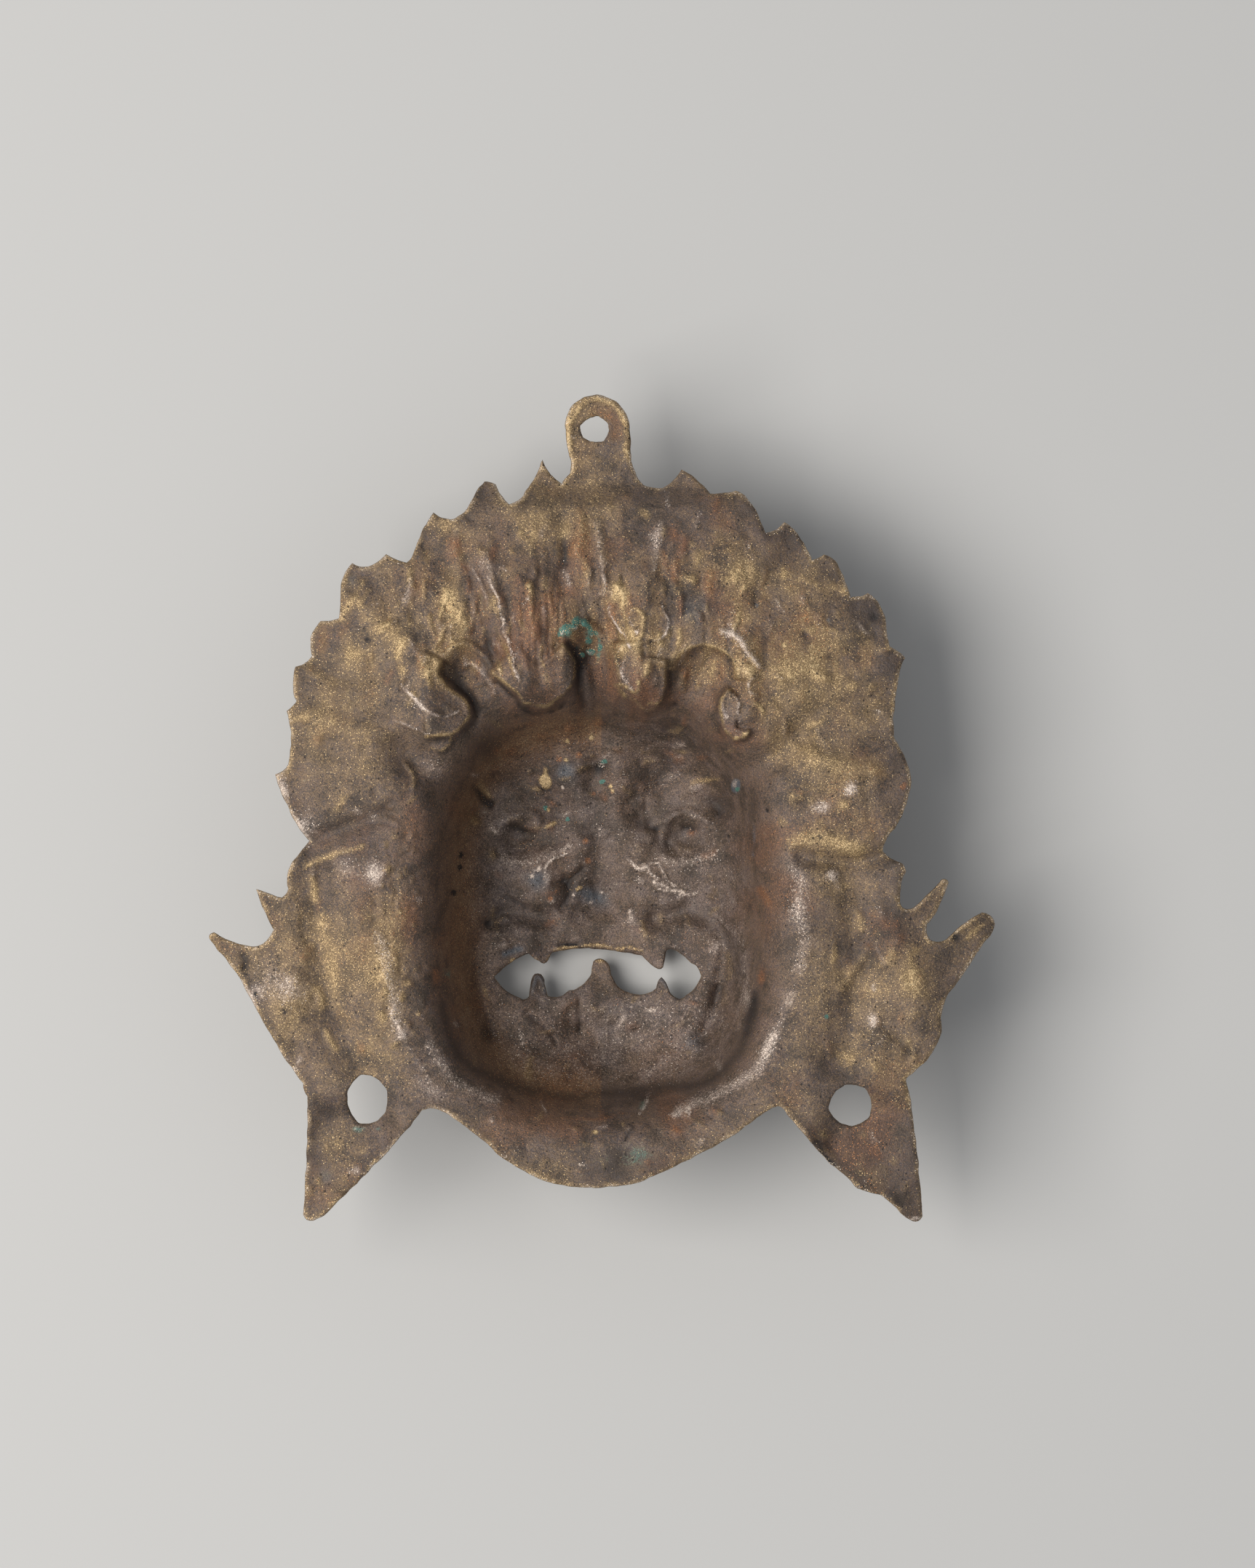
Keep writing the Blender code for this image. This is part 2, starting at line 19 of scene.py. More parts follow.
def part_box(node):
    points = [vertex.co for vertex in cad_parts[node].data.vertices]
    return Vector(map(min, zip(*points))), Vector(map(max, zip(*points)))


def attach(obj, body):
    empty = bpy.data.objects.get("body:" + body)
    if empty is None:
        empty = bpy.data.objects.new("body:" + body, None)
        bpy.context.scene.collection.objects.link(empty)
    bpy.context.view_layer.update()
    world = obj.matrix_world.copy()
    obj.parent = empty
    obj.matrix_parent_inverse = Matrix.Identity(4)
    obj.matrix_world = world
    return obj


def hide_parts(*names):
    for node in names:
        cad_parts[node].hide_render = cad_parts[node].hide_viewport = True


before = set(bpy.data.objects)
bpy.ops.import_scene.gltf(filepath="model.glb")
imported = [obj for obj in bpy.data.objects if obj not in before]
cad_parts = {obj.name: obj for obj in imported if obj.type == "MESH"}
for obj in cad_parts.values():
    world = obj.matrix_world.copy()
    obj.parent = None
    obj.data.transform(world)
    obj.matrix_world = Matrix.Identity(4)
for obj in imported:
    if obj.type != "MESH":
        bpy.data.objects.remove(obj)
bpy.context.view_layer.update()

MM = 0.001
CAD_NODE = "cast_mask"
log = logging.getLogger("mask")

Point = tuple[float, float]
Points = tuple[Point, ...]
Arc = tuple[float, float, float]
Colour = tuple[float, float, float, float]
Grid = np.ndarray
Socket = bpy.types.NodeSocket
Source = Socket | float | Colour


class Tone(Enum):
    """What a worked form does to the colour of the skin of the metal. DARK also carries painted shade and
    PALE also carries painted highlights.
    """

    PLAIN = "plain"
    GOLD = "gold"
    PALE = "pale"
    DARK = "dark"
    RUST = "rust"
    BLUE = "blue"
    GREEN = "green"


PLAIN, GOLD, PALE, DARK, RUST, BLUE, GREEN = Tone


class Profile(Enum):
    """How a worked line stands on the metal."""

    RIDGE = "ridge"
    LEDGE = "ledge"


def smooth_step(share: Grid) -> Grid:
    """Eased climb from 0 to 1, held at its ends."""
    held = np.clip(share, 0.0, 1.0)
    return held * held * (3.0 - 2.0 * held)


def smooth_curve(points: Points, steps: int) -> Grid:
    """Curve that passes through every given point.

    Args:
        points: The places it passes through, in order.
        steps: How many pieces each stretch is cut into.

    Returns:
        The curve's points, one row each.
    """
    given = np.array(points, dtype=float)
    padded = np.vstack([given[:1], given, given[-1:]])
    before, here, after, beyond = padded[:-3], padded[1:-2], padded[2:-1], padded[3:]
    rows = []
    for share in np.arange(steps) / steps:
        rows.append(
            0.5
            * (
                2 * here
                + (after - before) * share
                + (2 * before - 5 * here + 4 * after - beyond) * share**2
                + (3 * here - before - 3 * after + beyond) * share**3
            )
        )
    stacked = np.stack(rows, axis=1).reshape(-1, 2)
    return np.vstack([stacked, given[-1:]])


def distance_to_line(x: Grid, y: Grid, line: Grid) -> Grid:
    """Distance from each place to a line of joined points.

    Args:
        x: Places across.
        y: Places up.
        line: The line's points, one row each.

    Returns:
        The distances, in millimetres.
    """
    nearest = np.full(x.shape, np.inf)
    for (x0, y0), (x1, y1) in zip(line[:-1], line[1:]):
        dx = x1 - x0
        dy = y1 - y0
        along = np.clip(((x - x0) * dx + (y - y0) * dy) / (dx * dx + dy * dy + 1e-12), 0, 1)
        nearest = np.minimum(nearest, np.hypot(x - x0 - along * dx, y - y0 - along * dy))
    return nearest


def place_on_line(x: Grid, y: Grid, line: Grid) -> tuple[Grid, Grid, Grid, float]:
    """Where each place stands beside a line of joined points.

    Args:
        x: Places across.
        y: Places up.
        line: The line's points, one row each.

    Returns:
        The distances, the sides (1 to the left of the way along), how far along, and the line's length.
    """
    nearest = np.full(x.shape, np.inf)
    side = np.zeros(x.shape)
    reached = np.zeros(x.shape)
    travelled = 0.0
    for (x0, y0), (x1, y1) in zip(line[:-1], line[1:]):
        dx = x1 - x0
        dy = y1 - y0
        length = math.hypot(dx, dy) + 1e-9
        along = np.clip(((x - x0) * dx + (y - y0) * dy) / (length * length), 0, 1)
        off_x = x - x0 - along * dx
        off_y = y - y0 - along * dy
        away = np.hypot(off_x, off_y)
        closer = away < nearest
        nearest = np.where(closer, away, nearest)
        side = np.where(closer, np.sign(dx * off_y - dy * off_x), side)
        reached = np.where(closer, travelled + along * length, reached)
        travelled += length
    return nearest, side, reached, travelled


def inside(x: Grid, y: Grid, loop: Grid) -> Grid:
    """Whether each place lies inside a closed loop.

    Args:
        x: Places across.
        y: Places up.
        loop: The loop's points, one row each, the first not repeated.

    Returns:
        True where a place is inside.
    """
    result = np.zeros(x.shape, dtype=bool)
    for (x0, y0), (x1, y1) in zip(loop, np.roll(loop, -1, axis=0)):
        if y0 == y1:
            continue
        result ^= ((y0 > y) != (y1 > y)) & (x < (x1 - x0) * (y - y0) / (y1 - y0) + x0)
    return result


def signed_area(loop: Grid) -> float:
    """Twice a closed loop's area, above 0 where it runs counterclockwise."""
    x, y = loop.T
    return float(np.sum(x * np.roll(y, -1) - np.roll(x, -1) * y))


def value_noise(x: Grid, y: Grid, size: float, seed: int) -> Grid:
    """Smooth unevenness, the same on every run.

    Args:
        x: Places across.
        y: Places up.
        size: How far apart its swells are, in millimetres.
        seed: Which pattern is drawn.

    Returns:
        Values between -1 and 1.
    """
    cells = 256
    table = np.random.default_rng(seed).random((cells, cells)) * 2 - 1
    turn = math.radians(27 + 41 * seed)
    u = (x * math.cos(turn) + y * math.sin(turn)) / size + 500
    v = (y * math.cos(turn) - x * math.sin(turn)) / size + 500
    column = np.floor(u).astype(int)
    row = np.floor(v).astype(int)
    across = smooth_step(u - column)
    up = smooth_step(v - row)
    column = column % cells
    row = row % cells
    next_column = (column + 1) % cells
    next_row = (row + 1) % cells
    low = table[column, row] * (1 - across) + table[next_column, row] * across
    high = table[column, next_row] * (1 - across) + table[next_column, next_row] * across
    return low * (1 - up) + high * up


def layered_noise(x: Grid, y: Grid, size: float, layers: int, seed: int) -> Grid:
    """Unevenness with finer unevenness on it.

    Args:
        x: Places across.
        y: Places up.
        size: How far apart the largest swells are, in millimetres.
        layers: How many times it is repeated at half the size and strength.
        seed: Which pattern is drawn.

    Returns:
        Values mostly between -1 and 1.
    """
    total = np.zeros(x.shape)
    for layer in range(layers):
        total = total + value_noise(x, y, size / 2**layer, seed + layer) / 2**layer
    return total


# Half width from which a worked line is a broad form that keeps its full depth to its ends
WIDE_FORM = 1.3
# Half width up to which the tone of a line is broken into short lengths
FINE_LINE = 0.6
# How steeply lines and patches fall away from their middle
LINE_FALL = 1.2
PATCH_FALL = 1.4
# Middle and half width of the stripe of tone along a ledge
STRIPE_PLACE = 0.16
STRIPE_WIDTH = 0.26


@dataclass(frozen=True)
class Stroke:
    """A line worked in the wax: a bead, a crack, a soft fold or the lip of a drip.

    width is the half width, rise the height in millimetres, and strength the amount of its tone. A ledge
    stands up on the left of the way along and fades over fade. bead is the spacing of beads, or 0.
    """

    width: float
    rise: float
    tone: Tone
    strength: float
    points: Points
    profile: Profile = Profile.RIDGE
    fade: float = 2.5
    bead: float = 0.0
    taper: float = 1.0

    def spread(self, x: Grid, y: Grid) -> tuple[Grid, Grid, Grid]:
        """Where the line reaches and how strongly.

        Args:
            x: Places across.
            y: Places up.

        Returns:
            The places it reaches, as indices, with the share of its rise and of its tone at each.
        """
        line = smooth_curve(self.points, 4)
        margin = 2.8 * self.width if self.profile is Profile.RIDGE else 2.2 * self.fade + self.width
        low = line.min(axis=0) - margin
        high = line.max(axis=0) + margin
        chosen = np.flatnonzero((x > low[0]) & (x < high[0]) & (y > low[1]) & (y < high[1]))
        away, side, reached, length = place_on_line(x[chosen], y[chosen], line)
        ends = np.minimum(reached, length - reached) / max(min(self.taper, 0.45 * length), 1e-6)
        ends = smooth_step(ends + 0.12) if self.width < WIDE_FORM else np.ones(away.shape)
        lip = np.exp(-LINE_FALL * (away / self.width) ** 2)
        if self.bead > 0:
            turn = 2 * math.pi * reached / self.bead
            lip = lip * (0.68 + 0.20 * np.cos(turn) + 0.12 * np.cos(1.7 * turn + 1.0))
        if self.profile is Profile.RIDGE:
            broken = 0.74 + 0.26 * np.cos(1.9 * reached + 1.8 * np.sin(0.83 * reached))
            return chosen, lip * ends, lip * ends * (broken if self.width <= FINE_LINE else 1)
        signed = away * side
        climb = 1 / (1 + np.exp(-3.0 * signed / self.width))
        body = climb * np.exp(-LINE_FALL * (np.maximum(signed, 0) / self.fade) ** 2)
        broken = 0.68 + 0.32 * np.cos(1.3 * reached + 1.9 * np.sin(0.61 * reached))
        stripe = np.exp(-LINE_FALL * ((signed - STRIPE_PLACE) / STRIPE_WIDTH) ** 2) * broken
        return chosen, (0.75 * body + 0.35 * lip) * ends, stripe * ends


@dataclass(frozen=True)
class Patch:
    """A swell, dent or stain: an ellipse with its place, half sizes, turn in degrees, rise and tone.

    It is soft where crisp is 1 and flatter with a sharper edge above that.
    """

    x: float
    y: float
    half_width: float
    half_height: float
    turn: float
    rise: float
    tone: Tone = PLAIN
    strength: float = 0.0
    crisp: float = 1.0

    def spread(self, x: Grid, y: Grid) -> tuple[Grid, Grid, Grid]:
        """Where the patch reaches and how strongly.

        Args:
            x: Places across.
            y: Places up.

        Returns:
            The places it reaches, as indices, with the share of its rise and of its tone at each.
        """
        reach = 2.1 * max(self.half_width, self.half_height)
        chosen = np.flatnonzero((abs(x - self.x) < reach) & (abs(y - self.y) < reach))
        cos = math.cos(math.radians(self.turn))
        sin = math.sin(math.radians(self.turn))
        dx = x[chosen] - self.x
        dy = y[chosen] - self.y
        u = (dx * cos + dy * sin) / self.half_width
        v = (dy * cos - dx * sin) / self.half_height
        weight = np.exp(-PATCH_FALL * (u * u + v * v) ** self.crisp)
        return chosen, weight, weight


Form = Stroke | Patch


@dataclass
class Sheet:
    """One side of the metal while it is worked: its places, its relief and its tones."""

    x: Grid
    y: Grid
    height: Grid
    tones: dict[Tone, Grid]

    @classmethod
    def start(cls, x: Grid, y: Grid) -> "Sheet":
        """A plain sheet at the given places, with no relief and no tone."""
        tones = {tone: np.zeros(x.shape) for tone in Tone if tone is not PLAIN}
        return cls(x, y, np.zeros(x.shape), tones)

    def press(self, forms: tuple[Form, ...], share: float = 1.0) -> None:
        """Works forms into the sheet.

        Args:
            forms: The lines and patches.
            share: How much of their rise they get.
        """
        for form in forms:
            chosen, weight, stain = form.spread(self.x, self.y)
            self.height[chosen] += form.rise * share * weight
            if form.tone is not PLAIN:
                self.tones[form.tone][chosen] += form.strength * stain
            # Painted shade: dark where a ledge's stripe falls on low ground, at the foot of its lip and at
            # its tapering ends
            if isinstance(form, Stroke) and form.profile is Profile.LEDGE:
                self.tones[DARK][chosen] += 0.5 * stain * (weight < 0.3)

    def stain(self, tone: Tone, amount: Grid) -> None:
        """Adds an amount of one tone all over the sheet."""
        self.tones[tone] += amount


def ridge(width: float, rise: float, tone: Tone, strength: float, *points: Point) -> Stroke:
    """A ridge through the given places, or a groove where rise is below 0."""
    return Stroke(width, rise, tone, strength, points)


def beads(width: float, rise: float, tone: Tone, strength: float, *points: Point) -> Stroke:
    """A ridge of small beads, spaced to suit their width."""
    return Stroke(width, rise, tone, strength, points, bead=3.4 * width)


def ledge(width: float, rise: float, tone: Tone, strength: float, fade: float, *points: Point) -> Stroke:
    """The lip of a drip, up on the left of the way along; fade is how far the drip behind the lip reaches."""
    return Stroke(width, rise, tone, strength, points, Profile.LEDGE, fade)


def spot(
    x: float, y: float, radius: float, rise: float, tone: Tone, strength: float, crisp: float = 1
) -> Patch:
    """A small round bump or pit, sharper at its edge where crisp is above 1."""
    return Patch(x, y, radius, radius, 0, rise, tone, strength, crisp)


def tint(x: float, y: float, half_width: float, half_height: float, tone: Tone, strength: float) -> Patch:
    """A stain with no rise."""
    return Patch(x, y, half_width, half_height, 0, 0, tone, strength)


def alike(first: Form, *others: Point | Points) -> tuple[Form, ...]:
    """A form and copies of it at other places.

    Args:
        first: The form.
        others: The middle of each copy of a patch, or all the points of each copy of a line.

    Returns:
        The form and its copies.
    """
    if isinstance(first, Patch):
        return (first,) + tuple(replace(first, x=x, y=y) for x, y in others)
    return (first,) + tuple(replace(first, points=points) for points in others)


# Outline, counterclockwise from the lug's crest. Each point is x, y and the swell of the arc to the next
# point, as a share of its chord: above 0 it bows out of the metal, below 0 it cuts in.
LUG_LEFT = (
    (-0.9, 79.5, 0.19), (-6.9, 74, 0.03), (-5.6, 67.2, -0.04), (-5.8, 64.4, 0.06), (-7.4, 62.4, -0.1),
)
LEFT_FLAMES = (
    (-11.3, 67, -0.05), (-14.3, 61.1, -0.14), (-17.7, 58.3, -0.08), (-20.4, 62.3, 0.1), (-22.4, 62.9, 0.03),
    (-25.9, 57.2, -0.12), (-29.1, 55.4, -0.08), (-32.3, 56.7, 0.04), (-36, 48.6, -0.1),
    (-37.3, 47.1, -0.04), (-41.4, 48.7, -0.06), (-44.5, 46.4, -0.12), (-47.8, 47, 0.12),
    (-49.9, 41.2, -0.02), (-50.2, 36.5, -0.06), (-53.9, 35.8, 0.14), (-55.4, 29.2, -0.08),
    (-58.6, 27.1, 0.1), (-58.4, 20.5, -0.08), (-60.2, 18.7, -0.03), (-59.4, 14.2, -0.05),
    (-60.1, 8.2, -0.1), (-62.5, 6.4, 0.04), (-56, -6.3, -0.04),
)
LEFT_EAR = (
    (-58.7, -9.9, 0.12), (-59.9, -15.4, -0.1), (-61.2, -17.3, -0.02), (-66.2, -15.7, 0.02),
    (-62.7, -23.4, -0.14), (-66.9, -26.8, -0.07), (-74.6, -23.9, 0.3), (-75.1, -25.4, -0.02),
    (-68.5, -34, 0.02), (-57.2, -52.8, 0.08),
)
LEFT_LOBE = (
    (-56.3, -55.2, -0.01), (-57.2, -78.2, 0.25), (-55.5, -79.3, 0.08), (-51.6, -76.4, 0.02),
    (-34.4, -58, -0.12),
)
CHIN = (
    (-30.6, -57.9, -0.03), (-20.1, -65.8, 0.04), (-10.7, -71.4, 0.07), (7.7, -71.4, 0.02), (25.6, -62.4, 0),
    (32.6, -57.3, -0.2),
)
RIGHT_LOBE = (
    (35.3, -57.8, 0.01), (44.2, -68.4, -0.03), (49.3, -72.9, 0.02), (53.6, -74.3, -0.04),
    (57.7, -77.8, 0.04), (60.2, -79.5, 0.2), (61.7, -78.7, 0.01), (60.1, -62.2, 0.02), (58.5, -52.8, -0.14),
)
RIGHT_EAR = (
    (59, -51.4, 0.06), (64.3, -45.5, 0.1), (65.1, -40.3, -0.08), (67.8, -34.2, 0), (75.2, -23.6, 0.34),
    (73.3, -20.3, 0.04), (66.4, -25.4, -0.42), (62.5, -22.2, 0.05), (66.7, -14.2, 0.3),
    (65.5, -13.8, -0.02), (60, -19.2, -0.36), (57.2, -17.2, -0.06), (58.3, -12.1, 0.2),
    (57.3, -10.6, -0.05),
)
RIGHT_FLAMES = (
    (54.1, -8.5, -0.1), (56.2, -3.9, 0.05), (59.5, 5.2, 0.05), (56.1, 13.8, -0.04), (57.2, 25.8, -0.08),
    (58.3, 28.8, 0.06), (55.5, 31.1, -0.02), (54.4, 36.6, 0.1), (51.3, 41.2, -0.06), (48, 40.4, 0.02),
    (45.3, 47, 0.08), (42.9, 48.6, -0.06), (40.4, 47.5, 0.03), (37.7, 52.9, 0.05), (35.3, 54.9, -0.1),
    (31.6, 52.9, 0.02), (29, 58.2, 0.08), (26, 61, -0.05), (21, 60.5, 0.03), (15.6, 65.2, -0.08),
    (11.9, 61.6, -0.1),
)
LUG_RIGHT = (
    (8, 62.3, -0.09), (5.6, 68.6, 0.01), (5.4, 73.4, 0.19),
)

# Mouth gap, counterclockwise from its left corner along the lower lip, with the fangs standing into it
MOUTH = (
    (-21, -32.9, 0.05), (-19.4, -35.1, 0.08), (-15.3, -37.6, 0.12), (-13.9, -36.9, -0.02),
    (-13.5, -33.3, -0.3), (-12, -32.6, -0.05), (-11.3, -33.6, 0.05), (-10.5, -36.9, 0.14), (-6.3, -36, 0.1),
    (-1.9, -32.8, -0.04), (-1.5, -30.1, -0.22), (0.8, -30.1, -0.05), (1.7, -32.4, 0.08), (3.4, -35.3, 0.14),
    (9.6, -36.2, 0.05), (10.8, -35.3, -0.1), (11.8, -33.3, -0.04), (13.3, -35.9, 0.1), (15.1, -37.5, 0.08),
    (18.2, -35.4, 0.06), (19.7, -32.7, 0.1), (17.7, -30.1, 0.05), (13.6, -27.4, 0.16), (12.6, -28, 0.02),
    (11.9, -31, -0.25), (10.7, -31.2, -0.06), (8.2, -28.8, 0.03), (-4.1, -27.4, 0.02), (-9.6, -28.3, 0.05),
    (-10.4, -29.7, -0.3), (-12.1, -29.8, -0.05), (-14.1, -28.3, 0.06),
)


@dataclass(frozen=True)
class Hole:
    """A cast hole with a slightly ragged edge, by its centre, width and height."""

    x: float
    y: float
    width: float
    height: float
    seed: int

    def loop(self, step: float) -> Grid:
        """Points round the hole.

        Args:
            step: How far apart they are.

        Returns:
            The points, one row each.
        """
        count = int(math.pi * (self.width + self.height) / 2 / step)
        turns = np.arange(count) * 2 * math.pi / count
        ragged = np.zeros(count)
        for wave in (3, 5, 8, 13):
            ragged = ragged + 0.16 / wave**0.5 * np.cos(wave * turns + self.seed * wave)
        across = self.x + (self.width / 2 + ragged) * np.cos(turns)
        up = self.y + (self.height / 2 + ragged) * np.sin(turns)
        return np.stack([across, up], axis=1)


@dataclass(frozen=True)
class MaskPlan:
    """The mask's outline, its mouth gap and its three holes, in plan."""

    outline: tuple[Arc, ...] = (
        LUG_LEFT + LEFT_FLAMES + LEFT_EAR + LEFT_LOBE + CHIN
        + RIGHT_LOBE + RIGHT_EAR + RIGHT_FLAMES + LUG_RIGHT
    )
    mouth: tuple[Arc, ...] = MOUTH
    lug_hole: Hole = Hole(-1.2, 73.0, 5.8, 5.2, 1)
    left_hole: Hole = Hole(-44.9, -56.0, 8.1, 9.8, 2)
    right_hole: Hole = Hole(48.0, -57.1, 8.5, 8.3, 3)
    step: float = 0.52
    nick_depth: float = 0.13

    def loop(self, corners: tuple[Arc, ...]) -> Grid:
        """A closed loop of arcs as points, with the small nicks of a cast edge.

        Args:
            corners: Each arc's start and swell.

        Returns:
            The points, one row each.
        """
        points = []
        for here, after in zip(corners, corners[1:] + corners[:1]):
            chord = math.dist(here[:2], after[:2])
            count = max(1, math.ceil(chord / self.step))
            share = np.arange(count) / count
            bow = 4 * here[2] * share * (1 - share)
            dx = after[0] - here[0]
            dy = after[1] - here[1]
            across = here[0] + dx * share + dy * bow
            up = here[1] + dy * share - dx * bow
            points.append(np.stack([across, up], axis=1))
        loop = np.vstack(points)
        nicks_x = self.nick_depth * layered_noise(loop[:, 0], loop[:, 1], 1.7, 2, 71)
        nicks_y = self.nick_depth * layered_noise(loop[:, 0], loop[:, 1], 1.7, 2, 75)
        return loop + np.stack([nicks_x, nicks_y], axis=1)

    def edge(self) -> Grid:
        """The outline's points, one row each."""
        return self.loop(self.outline)

    def openings(self) -> list[Grid]:
        """The loops of the mouth gap and of the three holes."""
        holes = [hole.loop(self.step) for hole in (self.lug_hole, self.left_hole, self.right_hole)]
        return [self.loop(self.mouth)] + holes


# Broad forms that the back and the face side share
SHARED_MOUNDS = (
    Patch(-1.1, 6, 3.4, 6, 0, -2.8),
    Patch(-0.4, -32, 22, 9, 0, -1.8),
    *alike(Patch(-11.5, 8.5, 8, 5, 0, -2.2), (11, 8.5)),
    Patch(-15.8, -6.2, 7.8, 6.8, 10, -3.6),
    Patch(15.7, -5.6, 7.8, 7, -10, -3.6),
    Patch(-0.4, -9, 3.8, 9, 0, -2.2),
    Patch(-0.6, -17.8, 7.4, 5.2, 0, -3),
    Patch(-19, -17.5, 6, 6, 30, -2.6),
    Patch(19, -16.8, 6, 6, -30, -2.4),
    Patch(0.3, -45.6, 13, 6.4, 0, -4.2),
    Patch(-20.5, -43.8, 5, 6, 35, -2),
    Patch(-0.4, 30, 5.2, 9.5, 0, -5.2),
    Patch(-0.4, 20, 4.6, 7, 0, -4.4),
    Patch(-25, 26.5, 6, 8, -30, -5),
    Patch(-20.6, 18, 6, 7, -20, -4),
    Patch(18.6, 25.4, 7.6, 7, 20, -5),
    Patch(15.6, 17.6, 4.4, 6, 10, -3.6),
    Patch(-36, 9.6, 7, 4.6, -40, -3.6),
    Patch(-29.6, 4.6, 5, 4.2, -35, -3),
    Patch(36.2, 12.4, 7, 4.6, 38, -3.6),
    Patch(29.4, 7.4, 5, 4.2, 35, -3),
    Patch(-60.5, -36, 5, 15, -24, 1.6),
    Patch(59.5, -34, 5.6, 15, 24, 2.2),
)
SHARED_RIDGES = (
    *alike(ridge(3.6, -4, PLAIN, 0, (-24, -0.5), (-20.5, 3.4), (-14, 3.6), (-8.4, 1.2)), ((24, -0.5),
        (20, 3.8), (13.6, 3.8), (7.8, 1.2))),
    *alike(ridge(2.3, -2, PLAIN, 0, (10.5, -21.8), (18.5, -20.8), (24.4, -25.6), (23.4, -36),
        (20.6, -44.5)), ((-10.5, -21.8), (-18.5, -20.8), (-24.2, -26), (-23.8, -36), (-21.5, -44.5))),
    ridge(1.6, 1.3, PLAIN, 0, (26.2, -24), (28, -32), (27.2, -42)),
    *alike(ridge(2, -1.7, PLAIN, 0, (-56.5, -7), (-50, -4.2), (-41, -1.4)), ((54.4, -9), (47, -10.4),
        (38.5, -9.4))),
    ridge(4.6, -3.4, PLAIN, 0, (-53.6, -14), (-54.4, -26), (-51, -40), (-46.6, -49)),
    ridge(4.6, -3.6, PLAIN, 0, (48.6, -15), (49.6, -28), (48, -40), (45.8, -48)),
    ridge(3.8, 1.5, PLAIN, 0, (-14.6, 45), (-13.6, 35), (-14.4, 24)),
    ridge(3, 1.7, PLAIN, 0, (9, 44), (8, 34), (7.4, 24)),
    ridge(4, 1.4, PLAIN, 0, (-34.6, 27), (-33.6, 18)),
    ridge(2.6, 1.5, PLAIN, 0, (28.6, 31), (28, 18)),
)


@dataclass(frozen=True)
class CastForm:
    """The broad form of the shell: a face hollow with climbing walls, a shoulder and a falling flange."""

    centre: Point = (0.0, -19.5)
    half_width: float = 30.2
    half_height: float = 38.1
    squareness: float = 2.8
    floor_level: float = 6.6
    floor_rise: float = 6.0
    floor_rise_limit: float = 1.2
    shoulder_level: float = 36.4
    wall_reach: float = 3.7
    shoulder_spread: float = 0.28
    shoulder_spread_ends: float = 0.08
    end_sharpening: float = 1.6
    end_sharpening_start: float = 0.7
    flange_start: float = 9.0
    flange_fall: float = 0.0042
    seats: tuple[tuple[float, float, float, float], ...] = (
        (-48.6, -65.8, 6.0, 32.0),
        (51.2, -66.0, 6.0, 32.0),
    )
    seat_blend: float = 7.0
    lug_flat_from: float = 63.4
    lug_flat_level: float = 28.5
    lug_flat_blend: float = 6.0

    def reach(self, x: Grid, y: Grid) -> tuple[Grid, Grid]:
        """How far outside the face hollow's opening each place is.

        Args:
            x: Places across.
            y: Places up.

        Returns:
            The distance, below 0 inside the opening, and the share of the way out to it.
        """
        dx = (x - self.centre[0]) / self.half_width
        dy = (y - self.centre[1]) / self.half_height
        share = (abs(dx) ** self.squareness + abs(dy) ** self.squareness) ** (1 / self.squareness)
        share = np.maximum(share, 0.001)
        radius = np.hypot(x - self.centre[0], y - self.centre[1])
        return radius * (1 - 1 / share), share

    def height(self, x: Grid, y: Grid) -> Grid:
        """Height of the broad form.

        Args:
            x: Places across.
            y: Places up.

        Returns:
            The heights, in millimetres.
        """
        reach, share = self.reach(x, y)
        endness = abs(y - self.centre[1]) / self.half_height
        sharpening = smooth_step(endness * self.end_sharpening - self.end_sharpening_start)
        spread = self.shoulder_spread + (self.shoulder_spread_ends - self.shoulder_spread) * sharpening
        outer_climb = reach / (self.wall_reach + spread * abs(reach))
        climb = np.where(reach < 0, reach / self.wall_reach, outer_climb)
        wall = 0.5 + 0.5 * np.tanh(climb)
        floor = self.floor_level + self.floor_rise * np.minimum(share, self.floor_rise_limit) ** 2
        rim = self.shoulder_level - self.flange_fall * np.maximum(reach - self.flange_start, 0) ** 2
        sheet = Sheet.start(x, y)
        sheet.press(SHARED_MOUNDS)
        sheet.press(SHARED_RIDGES)
        height = floor + (rim - floor) * wall + sheet.height
        for cx, cy, radius, level in self.seats:
            weight = 1 - smooth_step((np.hypot(x - cx, y - cy) - radius) / self.seat_blend)
            height = height + (level - height) * weight
        weight = smooth_step((y - self.lug_flat_from + self.lug_flat_blend) / self.lug_flat_blend)
        return height + (self.lug_flat_level - height) * weight


# The even grid that heights are held on, in millimetres
FIELD_STEP = 0.4
FIELD_HALF_WIDTH = 84.0
FIELD_HALF_HEIGHT = 86.0


